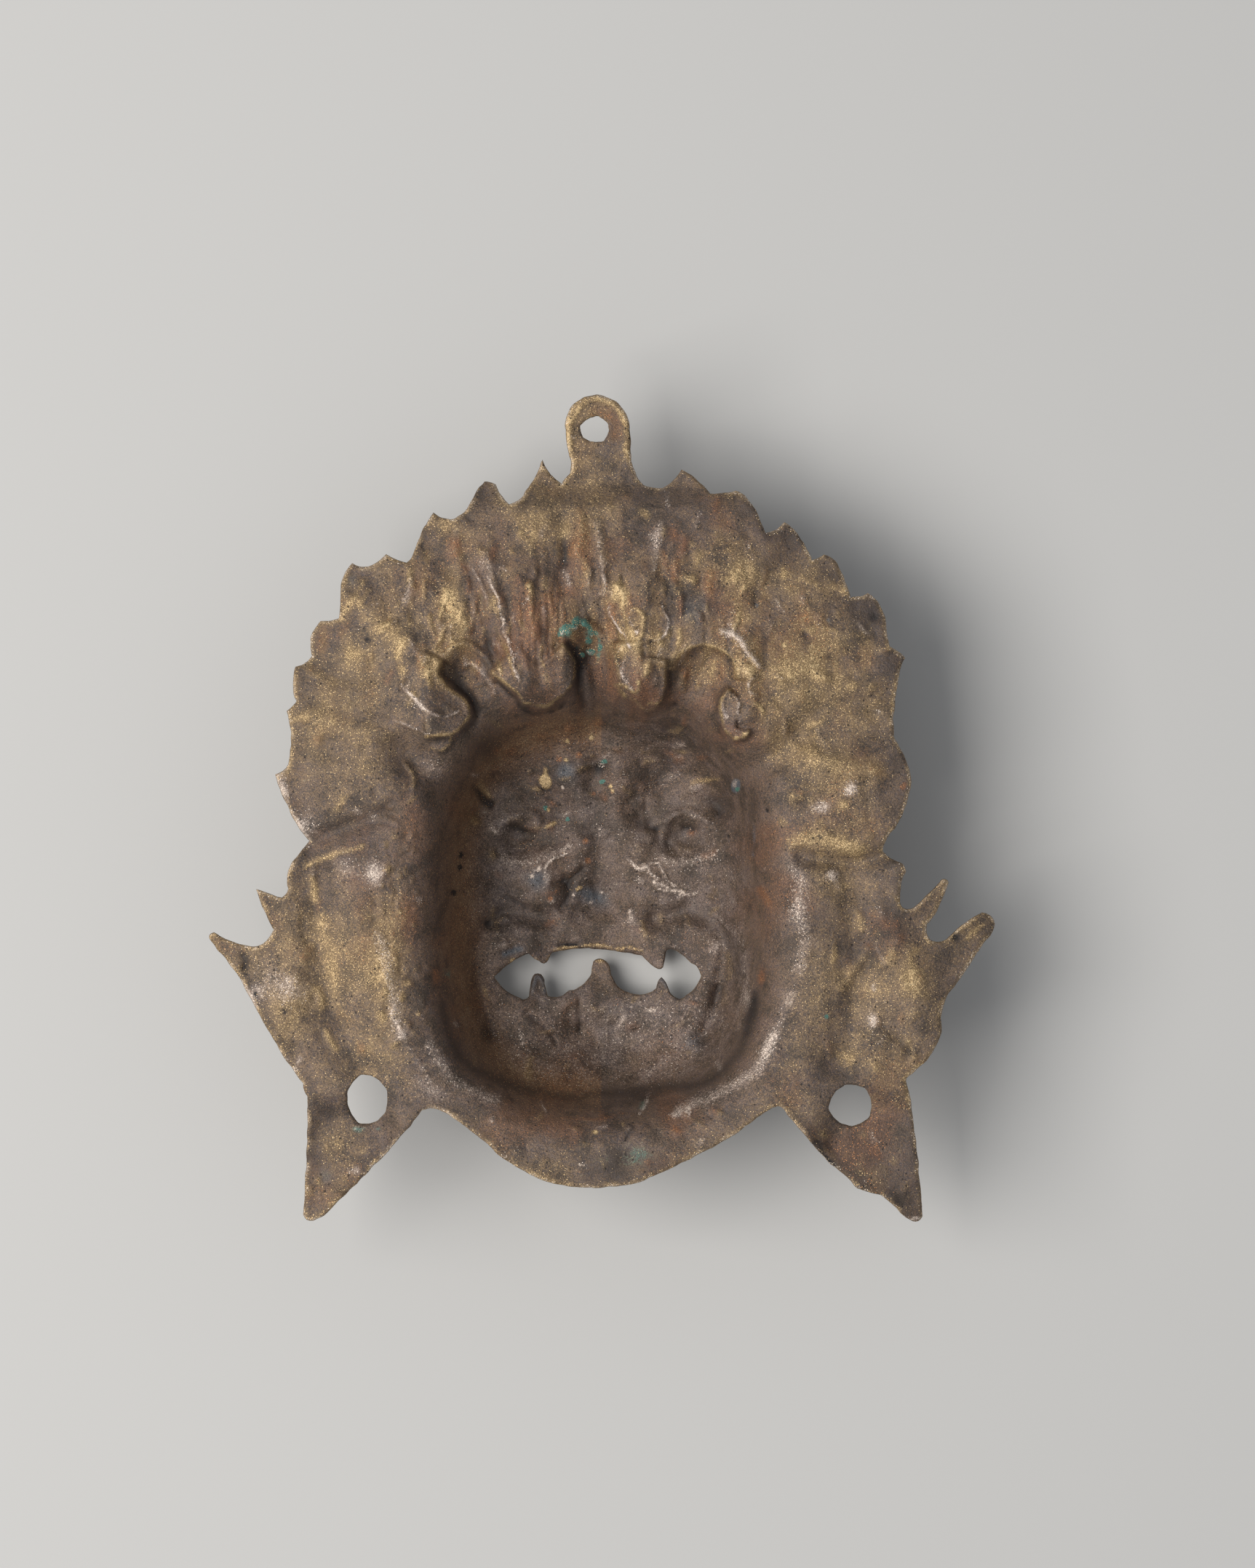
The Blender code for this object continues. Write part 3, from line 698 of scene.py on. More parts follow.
@dataclass(frozen=True)
class HeightField:
    """Heights held on an even grid, read between its points."""

    heights: Grid

    @classmethod
    def sample(cls, height: Callable[[Grid, Grid], Grid]) -> "HeightField":
        """Samples heights over the whole plan.

        Args:
            height: Gives the height at any places.

        Returns:
            The field.
        """
        xs = np.arange(-FIELD_HALF_WIDTH, FIELD_HALF_WIDTH, FIELD_STEP)
        ys = np.arange(-FIELD_HALF_HEIGHT, FIELD_HALF_HEIGHT, FIELD_STEP)
        x, y = np.meshgrid(xs, ys, indexing="ij")
        return cls(height(x.ravel(), y.ravel()).reshape(x.shape))

    def softened(self, reach: float) -> "HeightField":
        """The same field with each height averaged over a square round it.

        Args:
            reach: Half the square's side.

        Returns:
            The softened field.
        """
        count = round(reach / FIELD_STEP)
        heights = self.heights
        for _ in range(2):
            sums = np.cumsum(np.pad(heights, ((count + 1, count), (0, 0)), mode="edge"), axis=0)
            heights = ((sums[2 * count + 1:] - sums[:-2 * count - 1]) / (2 * count + 1)).T
        return HeightField(heights)

    def at(self, x: Grid, y: Grid) -> Grid:
        """Heights at any places.

        Args:
            x: Places across.
            y: Places up.

        Returns:
            The heights.
        """
        u = np.clip((x + FIELD_HALF_WIDTH) / FIELD_STEP, 0, self.heights.shape[0] - 1.001)
        v = np.clip((y + FIELD_HALF_HEIGHT) / FIELD_STEP, 0, self.heights.shape[1] - 1.001)
        column = u.astype(int)
        row = v.astype(int)
        across = u - column
        up = v - row
        low = self.heights[column, row] * (1 - across) + self.heights[column + 1, row] * across
        high = self.heights[column, row + 1] * (1 - across) + self.heights[column + 1, row + 1] * across
        return low * (1 - up) + high * up


# Drips, beads and folds of the crown left of the lug
CROWN_LEFT = (
    Patch(-36, 20.6, 3.4, 1.3, -42, 0.1, PALE, 0.5),
    ledge(0.55, 0.9, PALE, 0.9, 3.2, (-39, 24), (-37.5, 22.5), (-36, 21), (-34.8, 19.7), (-34, 19),
        (-31.5, 17.6), (-30, 17.3), (-28.5, 17.8), (-27.3, 18.3), (-27.2, 19.3)),
    ledge(0.7, 2.6, GOLD, 1.3, 5, (-34, 13.6), (-30.5, 14), (-28.7, 13.9), (-27.5, 14.6), (-26.5, 15.6),
        (-25.5, 17), (-25.1, 18.5), (-26, 20.5), (-27.5, 21.8), (-29.5, 23.5), (-31, 25.5), (-31, 27),
        (-30.3, 28.8)),
    # Painted shade: dark band on the steep wall below the drip's lip, which faces away from the light
    ridge(0.9, -0.9, DARK, 0.4, (-26.2, 14.4), (-24.6, 16.4), (-24, 18.6), (-25, 20.9), (-26.8, 22.7),
        (-28.7, 24.4), (-30, 26.3), (-29.6, 28.6)),
    ledge(0.5, 0.8, GOLD, 0.8, 2, (-33, 11.3), (-31, 10.9), (-29.5, 11.6), (-28.3, 14)),
    ridge(0.6, 0.5, PALE, 0.6, (-26.5, 27.3), (-25, 27.7), (-24, 27), (-22.5, 25.5), (-21, 23.5),
        (-20.4, 21.5)),
    # Painted shade: dark along the left side of the channel, which faces away from the light
    ridge(1.2, -0.5, DARK, 0.4, (-29, 28), (-26, 23), (-22.5, 18)),
    ledge(0.7, 3.4, GOLD, 1.2, 5.5, (-21.5, 26.5), (-19.8, 25), (-17.5, 23.1), (-16, 22), (-15.2, 20.5),
        (-14.4, 19.9), (-12.5, 19.4), (-10.5, 19.4), (-8.5, 20.8), (-6.3, 22.3), (-5.3, 24), (-4.9, 26),
        (-5.2, 28.5), (-6.5, 30.5), (-7.7, 31.8)),
    # Painted shade: dark along the centre channel's left wall, which faces away from the light
    ridge(1, -1.2, DARK, 0.5, (-7, 32.2), (-5.2, 29.4), (-4.3, 25.2), (-3.7, 21.6), (-3.2, 18.8)),
    ledge(0.9, 1.8, PLAIN, 0, 4, (2.4, 17.5), (2.8, 22), (2.6, 27), (2, 31), (-0.6, 34.4), (-4, 35.6),
        (-7, 33.6)),
    ledge(0.9, 2, PLAIN, 0, 4, (-20, 24), (-21.6, 28.4), (-25, 31.6), (-28.4, 31.2), (-30.8, 28.6)),
    # Painted shadow: dark band under the lip of the second drip
    ridge(0.5, -0.6, DARK, 0.8, (-20.6, 25.2), (-18.4, 22.8), (-16.4, 21), (-14.6, 18.8), (-11.8, 18.2),
        (-8.8, 19), (-6.2, 20.9)),
    beads(0.34, 0.7, PALE, 1.3, (-21.8, 44.8), (-21, 43), (-20.2, 41.3), (-19.7, 39.5), (-19.5, 37.5),
        (-18.8, 36), (-19, 34.5), (-18.3, 33), (-17.6, 32), (-17.4, 30.5), (-17, 28.5), (-16.6, 26.5),
        (-15.5, 24)),
    beads(0.4, 0.55, PALE, 0.6, (-24.8, 40.5), (-24.6, 38.5), (-24.3, 37), (-24.6, 35.5), (-24.3, 34)),
    beads(0.4, 0.5, PALE, 0.6, (-23.3, 44.5), (-22.7, 42), (-22, 40.5), (-21.8, 38)),
    *alike(ridge(0.35, 0.4, PALE, 0.6, (-20.7, 33), (-20.5, 30.5)), ((-19.7, 32), (-19.5, 30))),
    ridge(0.35, 0.4, PALE, 0.5, (-15.2, 31), (-17, 28)),
    ridge(0.35, 0.4, GOLD, 0.5, (-19.5, 27.7), (-18.8, 25.2)),
    *alike(beads(0.3, 0.35, GOLD, 0.8, (-11, 33.5), (-11.2, 32)), ((-12.4, 30), (-11.4, 28.2),
        (-10.5, 26.5))),
    beads(0.3, 0.3, GOLD, 0.8, (-12.2, 24.5), (-12.2, 22.5)),
    spot(-6.3, 33.6, 1, 0.5, GREEN, 0.8),
    beads(0.7, 0.5, GREEN, 1.5, (-8, 32.8), (-7.6, 34.2), (-6.4, 35), (-5.2, 35), (-4.6, 36), (-3.4, 35.6),
        (-2.2, 34.4), (-1.6, 33)),
    beads(0.6, 0.4, GREEN, 1.4, (-3.2, 34.2), (-2.6, 32.8), (-2.4, 31.4)),
    beads(0.45, 0.3, GREEN, 1.1, (-0.6, 33.8), (-0.2, 31.8), (-0.6, 29.4), (-1, 27)),
    spot(-4.9, 34.6, 0.35, 0.1, PALE, 2, 2),
    *alike(spot(-1.9, 33.4, 0.3, 0.1, PALE, 1.7, 2), (-7.2, 33.9)),
    Patch(-2, 30.2, 0.8, 0.6, 0, 0.25, GREEN, 1.8, 2),
    Patch(-2.1, 30.2, 0.7, 0.5, 0, 0.1, PALE, 2.2, 2),
    spot(-1, 33.5, 0.4, 0.1, GREEN, 1.7, 2),
    *alike(spot(0, 31, 0.35, 0.1, GREEN, 1.7, 2), (-3.5, 29.5)),
    Patch(-3.9, 34.8, 3.2, 1.7, 12, 0, DARK, 0.6),
    # Dent in the centre channel, darkened on its left side as painted shade
    Patch(-4, 28.6, 2.6, 4.8, 0, -1.4, DARK, 0.8),
    ridge(1, 0.45, BLUE, 0.25, (-2.8, 28), (-2.6, 23), (-2.4, 17.5)),
    ridge(0.7, -0.7, DARK, 0.45, (2.5, 33), (3, 30), (4.3, 26)),
    tint(-22, 11.5, 4.2, 3.8, DARK, 0.75),
    Patch(-32, 8, 3, 3.2, 0, 0.2, PALE, 0.35),
    Patch(-32, 0.5, 1.6, 4, 0, -0.3, DARK, 0.5),
    tint(-12.5, 34, 7, 12, RUST, 0.26),
    Patch(-27, 36, 2.6, 7, 10, 0.2, GOLD, 0.35),
    Patch(-22, 47, 2.4, 4, 20, 0.4, PALE, 0.3),
    beads(0.3, 0.4, PALE, 0.8, (-25.6, 47.5), (-24, 44.6), (-22.6, 43.4)),
    beads(0.3, 0.4, GOLD, 0.9, (-18.6, 31.6), (-17.8, 29), (-16.9, 26.4), (-16.6, 24.6)),
    ridge(0.9, 0.9, PLAIN, 0, (-22.6, 50), (-20.6, 44), (-18.6, 37), (-17.6, 30)),
    ridge(1.2, -0.6, DARK, 0.25, (-26.6, 50), (-25.6, 44), (-24.6, 37), (-24, 33)),
    ridge(1, 0.7, PALE, 0.35, (-1, 56), (-0.2, 50), (0.6, 44), (0.4, 40)),
    ridge(1, 0.6, PALE, 0.4, (11.6, 56), (10.8, 50), (10.2, 45)),
    ridge(1.2, 0.6, RUST, 0.4, (-4.6, 58), (-3.6, 53), (-5.6, 48)),
    ridge(0.8, -0.5, DARK, 0.3, (-23.4, 42), (-22.4, 36), (-20.6, 29)),
    ridge(0.8, 0.6, RUST, 0.4, (-14, 44), (-13.4, 38), (-12.6, 32)),
    ridge(0.3, 0.35, PALE, 0.7, (-40, 17), (-36, 15.5), (-33, 14)),
    ridge(0.5, 0.5, GOLD, 0.5, (-38, 9), (-36, 6), (-36, 3)),
)


def flutes() -> tuple[Stroke, ...]:
    """Fine upright flutes in the reddish fold left of the centre.

    Returns:
        The flutes, as narrow ridges.
    """
    lines = []
    for number in range(9):
        x = -16.6 + 1.15 * number
        lean = 0.5 * math.sin(2.1 * number)
        low = 27.5 + 1.2 * math.cos(1.7 * number)
        high = 43.0 + 2.0 * math.sin(1.3 * number)
        points = ((x + lean, high), (x - 0.4 * lean, (low + high) / 2 + 2), (x + 0.3, low))
        lines.append(Stroke(0.36, 0.32, RUST, 0.25, points, taper=4.0))
    return tuple(lines)


@dataclass(frozen=True)
class WaxMarks:
    """Short marks that the wax was worked with, scattered over one area along one way.

    The way is given as degrees from straight up, and lean as how far it may stray.
    """

    low: Point
    high: Point
    count: int
    way: float
    lean: float
    length: float
    seed: int

    def forms(self) -> tuple[Stroke, ...]:
        """The marks.

        Returns:
            Short ridges and grooves.
        """
        chance = np.random.default_rng(self.seed)
        marks = []
        for number in range(self.count):
            x = chance.uniform(self.low[0], self.high[0])
            y = chance.uniform(self.low[1], self.high[1])
            way = math.radians(self.way + chance.uniform(-self.lean, self.lean))
            half = self.length * chance.uniform(0.3, 0.8)
            bend = half * chance.uniform(-0.25, 0.25)
            dx = math.sin(way)
            dy = math.cos(way)
            points = (
                (x - dx * half, y - dy * half),
                (x + dy * bend, y - dx * bend),
                (x + dx * half, y + dy * half),
            )
            width = chance.uniform(0.35, 0.9)
            raised = number % 3 > 0
            rise = chance.uniform(0.14, 0.46) * (1.0 if raised else -0.9)
            tone = (GOLD, GOLD, PALE, RUST)[int(chance.integers(4))] if raised else DARK
            marks.append(Stroke(width, rise, tone, chance.uniform(0.15, 0.55), points, taper=1.5))
        return tuple(marks)


WAX_MARKS = (
    WaxMarks((-38, 24), (32, 50), 190, 0, 22, 4, 91),
    WaxMarks((-30, 46), (30, 60), 50, 0, 30, 3.4, 92),
    WaxMarks((-58, -4), (-36, 44), 60, 60, 50, 3.6, 93),
    WaxMarks((34, -6), (56, 44), 60, -60, 50, 3.6, 94),
    WaxMarks((-26, 4), (26, 17), 50, 90, 25, 3.2, 95),
    WaxMarks((-26, -24), (26, 4), 70, 45, 90, 3, 96),
    WaxMarks((-26, -54), (26, -36), 34, 40, 90, 4, 97),
    WaxMarks((-60, -50), (-42, -12), 46, 0, 40, 3.6, 98),
    WaxMarks((42, -50), (62, -12), 46, 0, 40, 3.6, 99),
    WaxMarks((-24, -70), (24, -58), 44, 80, 50, 2.4, 100),
    WaxMarks((-42, -46), (-34, -4), 70, 20, 50, 1.8, 101),
    WaxMarks((-60, -76), (-40, -62), 30, 20, 60, 2.6, 102),
    WaxMarks((42, -76), (60, -62), 30, -20, 60, 2.6, 103),
)

# Drips, beads and folds of the crown right of the lug
CROWN_RIGHT = (
    ledge(0.45, 0.9, PALE, 1.2, 2.4, (1.7, 39.5), (1.2, 38.2), (1.6, 37), (2.5, 35.5), (3.4, 34), (4.3, 33),
        (4.8, 31.5), (5.7, 30.3)),
    ledge(0.8, 3.2, GOLD, 0.6, 5, (2.6, 32), (3, 28), (3.4, 24), (4.6, 21.6), (6.8, 20.4), (8.8, 18.8),
        (10.8, 19.6), (12.2, 21.5), (12.4, 25), (12.8, 29)),
    ridge(0.45, 0.55, GOLD, 0.7, (5.8, 37), (6.2, 38), (7, 37.8), (7.8, 36.8), (8.1, 34), (7.5, 32.5),
        (6.3, 30.6)),
    ridge(0.4, 0.4, PALE, 0.8, (5.5, 36), (6.6, 34.8)),
    spot(7.1, 34.7, 0.35, -0.6, DARK, 2),
    Patch(7, 33.9, 0.5, 0.4, 0, 0.2, PALE, 1.7),
    ridge(0.5, 0.4, GOLD, 0.5, (2.5, 43), (3.5, 42), (4, 40.5), (4.3, 38), (4.8, 36), (5.3, 33)),
    ledge(0.45, 0.8, PALE, 1, 2.4, (9.3, 31.5), (10.2, 31.9), (11, 31.8), (12.5, 33.2), (13.2, 35),
        (12.8, 36.5), (12, 38), (11.5, 39.5)),
    spot(9.7, 31.8, 0.6, -0.5, DARK, 1.5),
    spot(17.5, 37, 2.6, 0.6, BLUE, 0.3),
    ridge(0.5, -0.4, DARK, 0.5, (20, 38), (20, 35.5)),
    ridge(0.8, 0.5, RUST, 0.6, (1.2, 36), (2.7, 32), (3.3, 29.5)),
    ridge(0.5, 0.6, PALE, 0.7, (4.3, 28.8), (3.9, 25.3), (5.4, 23.8), (6, 22.3)),
    beads(0.4, 0.5, GOLD, 1.6, (2.3, 23.8), (4.6, 23.4), (6.1, 22.3), (6.8, 22.4), (7.3, 23.2), (7.1, 24.3),
        (6.5, 24.9)),
    beads(0.35, 0.4, GOLD, 1.5, (3.3, 23.5), (3.6, 22.3), (5, 21)),
    ledge(0.45, 0.7, GOLD, 1.5, 1.8, (8.8, 19.8), (9.8, 20.2), (10.5, 19.9), (11.5, 20.5)),
    ridge(0.7, 0.6, DARK, 0.6, (8.3, 19.8), (8.8, 18.4), (9.8, 18.1)),
    ridge(0.5, 0.35, GOLD, 0.4, (8.6, 28.5), (9.2, 27), (8.7, 25.2)),
    ledge(0.8, 2.2, GOLD, 0.7, 4, (13.4, 26), (14.6, 28.4), (16, 30), (18.5, 31), (21, 30.8), (23.5, 30),
        (25, 28.5), (25.7, 26.5), (25.5, 24.6)),
    ridge(1.1, -0.5, DARK, 0.6, (13.4, 29), (13.2, 26), (13.4, 22.5)),
    spot(19.5, 26, 2.8, 0.2, GOLD, 0.4),
    *alike(ridge(0.7, 0.5, GOLD, 0.3, (15.5, 26), (16, 22)), ((18.8, 24.5), (18.3, 22))),
    ridge(0.5, 0.4, GOLD, 0.4, (14, 19), (13.8, 17)),
    ridge(0.5, 0.5, RUST, 0.5, (16.3, 18.5), (15.8, 15.5)),
    ridge(0.6, -0.6, DARK, 0.8, (12.5, 19.5), (15.3, 20.3)),
    ledge(0.7, 3, GOLD, 1.1, 4.5, (25, 23.3), (24.2, 22.7), (23.3, 21.5), (22.8, 20), (22.8, 18.5),
        (23.4, 15.6), (25, 13.2), (26.5, 13.2), (28, 14), (28.3, 15.5)),
    beads(0.45, 0.6, PALE, 0.95, (23.3, 20.5), (23.4, 19.5), (24.3, 17)),
    beads(0.45, 0.65, PALE, 0.95, (25.2, 22.3), (26.5, 20.5), (26.4, 19), (26.2, 18), (27, 16)),
    Patch(25.7, 13.6, 0.6, 0.4, 0, 0.2, GOLD, 1.7),
    Patch(27.4, 14.3, 0.5, 0.4, 0, 0.2, GOLD, 1.7),
    Patch(26, 33.6, 4, 2, -35, 0.1, PALE, 0.45),
    ridge(0.8, 0.8, PALE, 0.6, (22.5, 34), (25, 33.5), (26.5, 32.5), (28, 30), (29.5, 28.5), (31, 26.5)),
    ridge(0.4, -0.5, DARK, 0.9, (25.3, 30), (27.7, 29.8), (28, 28.6), (29.5, 27.2)),
    beads(0.45, 0.7, PALE, 0.9, (30.4, 25.5), (28.5, 24.5), (28.3, 23.5), (28.6, 22.3), (30.5, 21.4)),
    ridge(0.4, 0.5, GOLD, 0.8, (28.7, 20.3), (30.2, 19.7), (31.1, 18.7), (31.2, 17.7)),
    spot(28.4, 26.5, 1.2, 0.1, GOLD, 0.7),
    Patch(26.2, 4.2, 0.9, 1.5, 0, 0.1, BLUE, 1.6, 2),
    Patch(26, 4.6, 0.5, 0.9, 0, 0.1, PALE, 0.7, 2),
    Patch(26.5, 3.4, 0.4, 0.5, 0, 0.1, GREEN, 1.5, 2),
    tint(33.5, 10, 1.8, 2.2, GOLD, 0.35),
)

# Folds, stains, specks and small dents of the flaming rim and the lug, with painted highlights on the left
# rim's crests
HALO = (
    Patch(-28.5, 39.5, 3, 7, 0, 0.1, GOLD, 0.55),
    Patch(3.8, 41, 1.6, 3.2, 8, 0.2, GOLD, 0.5),
    spot(-13.5, 54, 5, 0.2, GOLD, 0.45),
    Patch(-9.5, 47, 2.6, 3.4, 20, -0.3, DARK, 0.25),
    ridge(1.5, -0.7, DARK, 0.35, (-7.6, 56), (-7, 49), (-7.6, 42)),
    *alike(ridge(2.4, 0.9, GOLD, 0.2, (33, 13), (39, 10.6), (46, 8), (52, 7)), ((-42, 14), (-49, 15),
        (-56, 18))),
    *alike(ridge(2.6, 0.8, GOLD, 0.2, (34, 26), (41, 29), (48, 34)), ((-38, 32), (-44, 37), (-49, 42))),
    *alike(ridge(2.4, -0.8, DARK, 0.16, (-44, 25), (-51, 26), (-56, 29)), ((42, 19), (49, 20), (55, 22))),
    *alike(ridge(2.2, -0.7, DARK, 0.16, (30, 41), (34, 46), (37, 51)), ((-30, 46), (-33, 50), (-34, 54))),
    tint(-1, 38.2, 4, 3.2, BLUE, 0.45),
    tint(18, 38.5, 4, 5, BLUE, 0.45),
    Patch(27, 45, 3.4, 3, 0, 0.1, GOLD, 0.45),
    Patch(38, 25, 6, 7, 20, 0, GOLD, 0.3),
    tint(-52, 33, 4, 5, RUST, 0.2),
    tint(-47.5, 29.5, 2.6, 2.8, GOLD, 0.5),
    beads(0.4, 0.3, PALE, 0.6, (-53, 27), (-51, 26), (-48.5, 25.3)),
    spot(-47, 30.8, 1, -0.35, DARK, 0.4),
    spot(-44.7, 32.4, 0.55, -0.5, DARK, 1.7),
    ridge(0.5, 0.4, GOLD, 0.6, (-42.5, 33), (-42, 34.6), (-40, 35.9)),
    tint(-30, 54, 3.4, 1.8, GOLD, 0.5),
    *alike(ridge(0.6, -0.5, DARK, 0.5, (-26.5, 57.2), (-24.6, 54.6)), ((-7.3, 52), (-6.8, 49), (-7.3, 46))),
    tint(-48, 43.5, 1.8, 1.8, BLUE, 0.7),
    *alike(ridge(0.5, 0.5, PALE, 0.7, (-19.5, 47), (-18, 45.3)), ((-11.5, 50), (-10.7, 47.7))),
    ridge(0.5, 0.4, GOLD, 0.7, (-17.5, 50), (-17, 48.5)),
    spot(-13.5, 42.7, 1, 0.4, GOLD, 0.5),
    Patch(-4, 50.5, 2.8, 5, 0, 0.8, RUST, 0.5),
    tint(8, 57, 1.4, 1, GOLD, 0.7),
    tint(9, 56, 1, 1, GOLD, 0.6),
    ridge(0.5, 0.5, GOLD, 0.7, (12.2, 54.5), (12, 52.8), (11.7, 51.8)),
    tint(10, 52, 1.2, 2, PALE, 0.5),
    tint(14, 52.5, 1.4, 2, RUST, 0.5),
    ridge(0.8, 0.5, GOLD, 0.4, (15.2, 44.8), (17, 44), (18.5, 43)),
    tint(24, 43.5, 1.8, 1.2, GOLD, 0.5),
    *alike(ridge(0.7, 0.3, GOLD, 0.5, (27, 43), (28, 41.5)), ((35, 47), (35.2, 43.5))),
    tint(39, 36.5, 1.4, 1, RUST, 0.7),
    spot(29.7, 39, 0.4, -0.2, BLUE, 2, 2),
    spot(35, 31.2, 0.35, 0.1, GOLD, 2.4, 2),
    Patch(43.8, 36, 0.4, 0.4, 0, 0, BLUE, 2, 2),
    ridge(0.35, -0.4, DARK, 0.8, (46.3, 24), (48.8, 26)),
    tint(44, 45, 2.4, 2.4, DARK, 0.4),
    tint(52, 37, 2, 3.2, DARK, 0.4),
    ridge(0.45, 0.4, GOLD, 0.9, (-6.4, 68), (-6, 71.5), (-6.1, 74.2), (-4, 77.5), (-0.9, 78.8), (2.6, 77.4),
        (4.7, 73.6), (4.8, 69.6), (5.2, 66.6)),
    ridge(1.3, -0.35, RUST, 0.5, (-1.2, 76.6), (2.6, 75), (2.9, 71.6)),
    ridge(0.6, 0.2, PALE, 0.7, (-5.5, 73), (-5, 70.5)),
    # Painted highlights: pale patches on the lit crests of the left rim (this line and the next)
    tint(-57, -4, 3.4, 3.4, PALE, 0.75),
    Patch(-61, 4, 1.2, 3, 20, 0, PALE, 0.85),
    Patch(-54, 12, 3, 7, 20, 0, GOLD, 0.25),
    spot(-46.7, -0.5, 1.2, 0.2, PALE, 0.5),
    *alike(spot(-56, -3.5, 0.4, -0.3, DARK, 1.5, 2), (-55.5, -2)),
    spot(58, 4, 0.5, 0.1, RUST, 2.4, 2),
    ridge(0.5, -0.5, DARK, 0.5, (40, 15), (42.5, 11), (43, 10.2)),
    ridge(0.2, -0.3, DARK, 1, (50.2, 5), (50.7, 2), (51.5, -3.5)),
    tint(52, 20, 7, 15, GOLD, 0.22),
    tint(41, 6, 8, 6, GOLD, 0.2),
    tint(-52, 20, 8, 14, DARK, 0.24),
    tint(0, 70, 6, 9, DARK, 0.22),
    tint(32, 46, 9, 9, DARK, 0.22),
    Patch(47.9, 3.5, 1.5, 1.8, -25, 0.1, PALE, 1.15),
    Patch(42.3, 0.2, 2.4, 1.6, 0, 0.1, PALE, 0.85),
    spot(42, -5.5, 0.6, -0.4, DARK, 1.7),
    ridge(1.6, 0.2, GOLD, 0.5, (36.5, -6.8), (42, -5.6), (49, -8.3)),
)

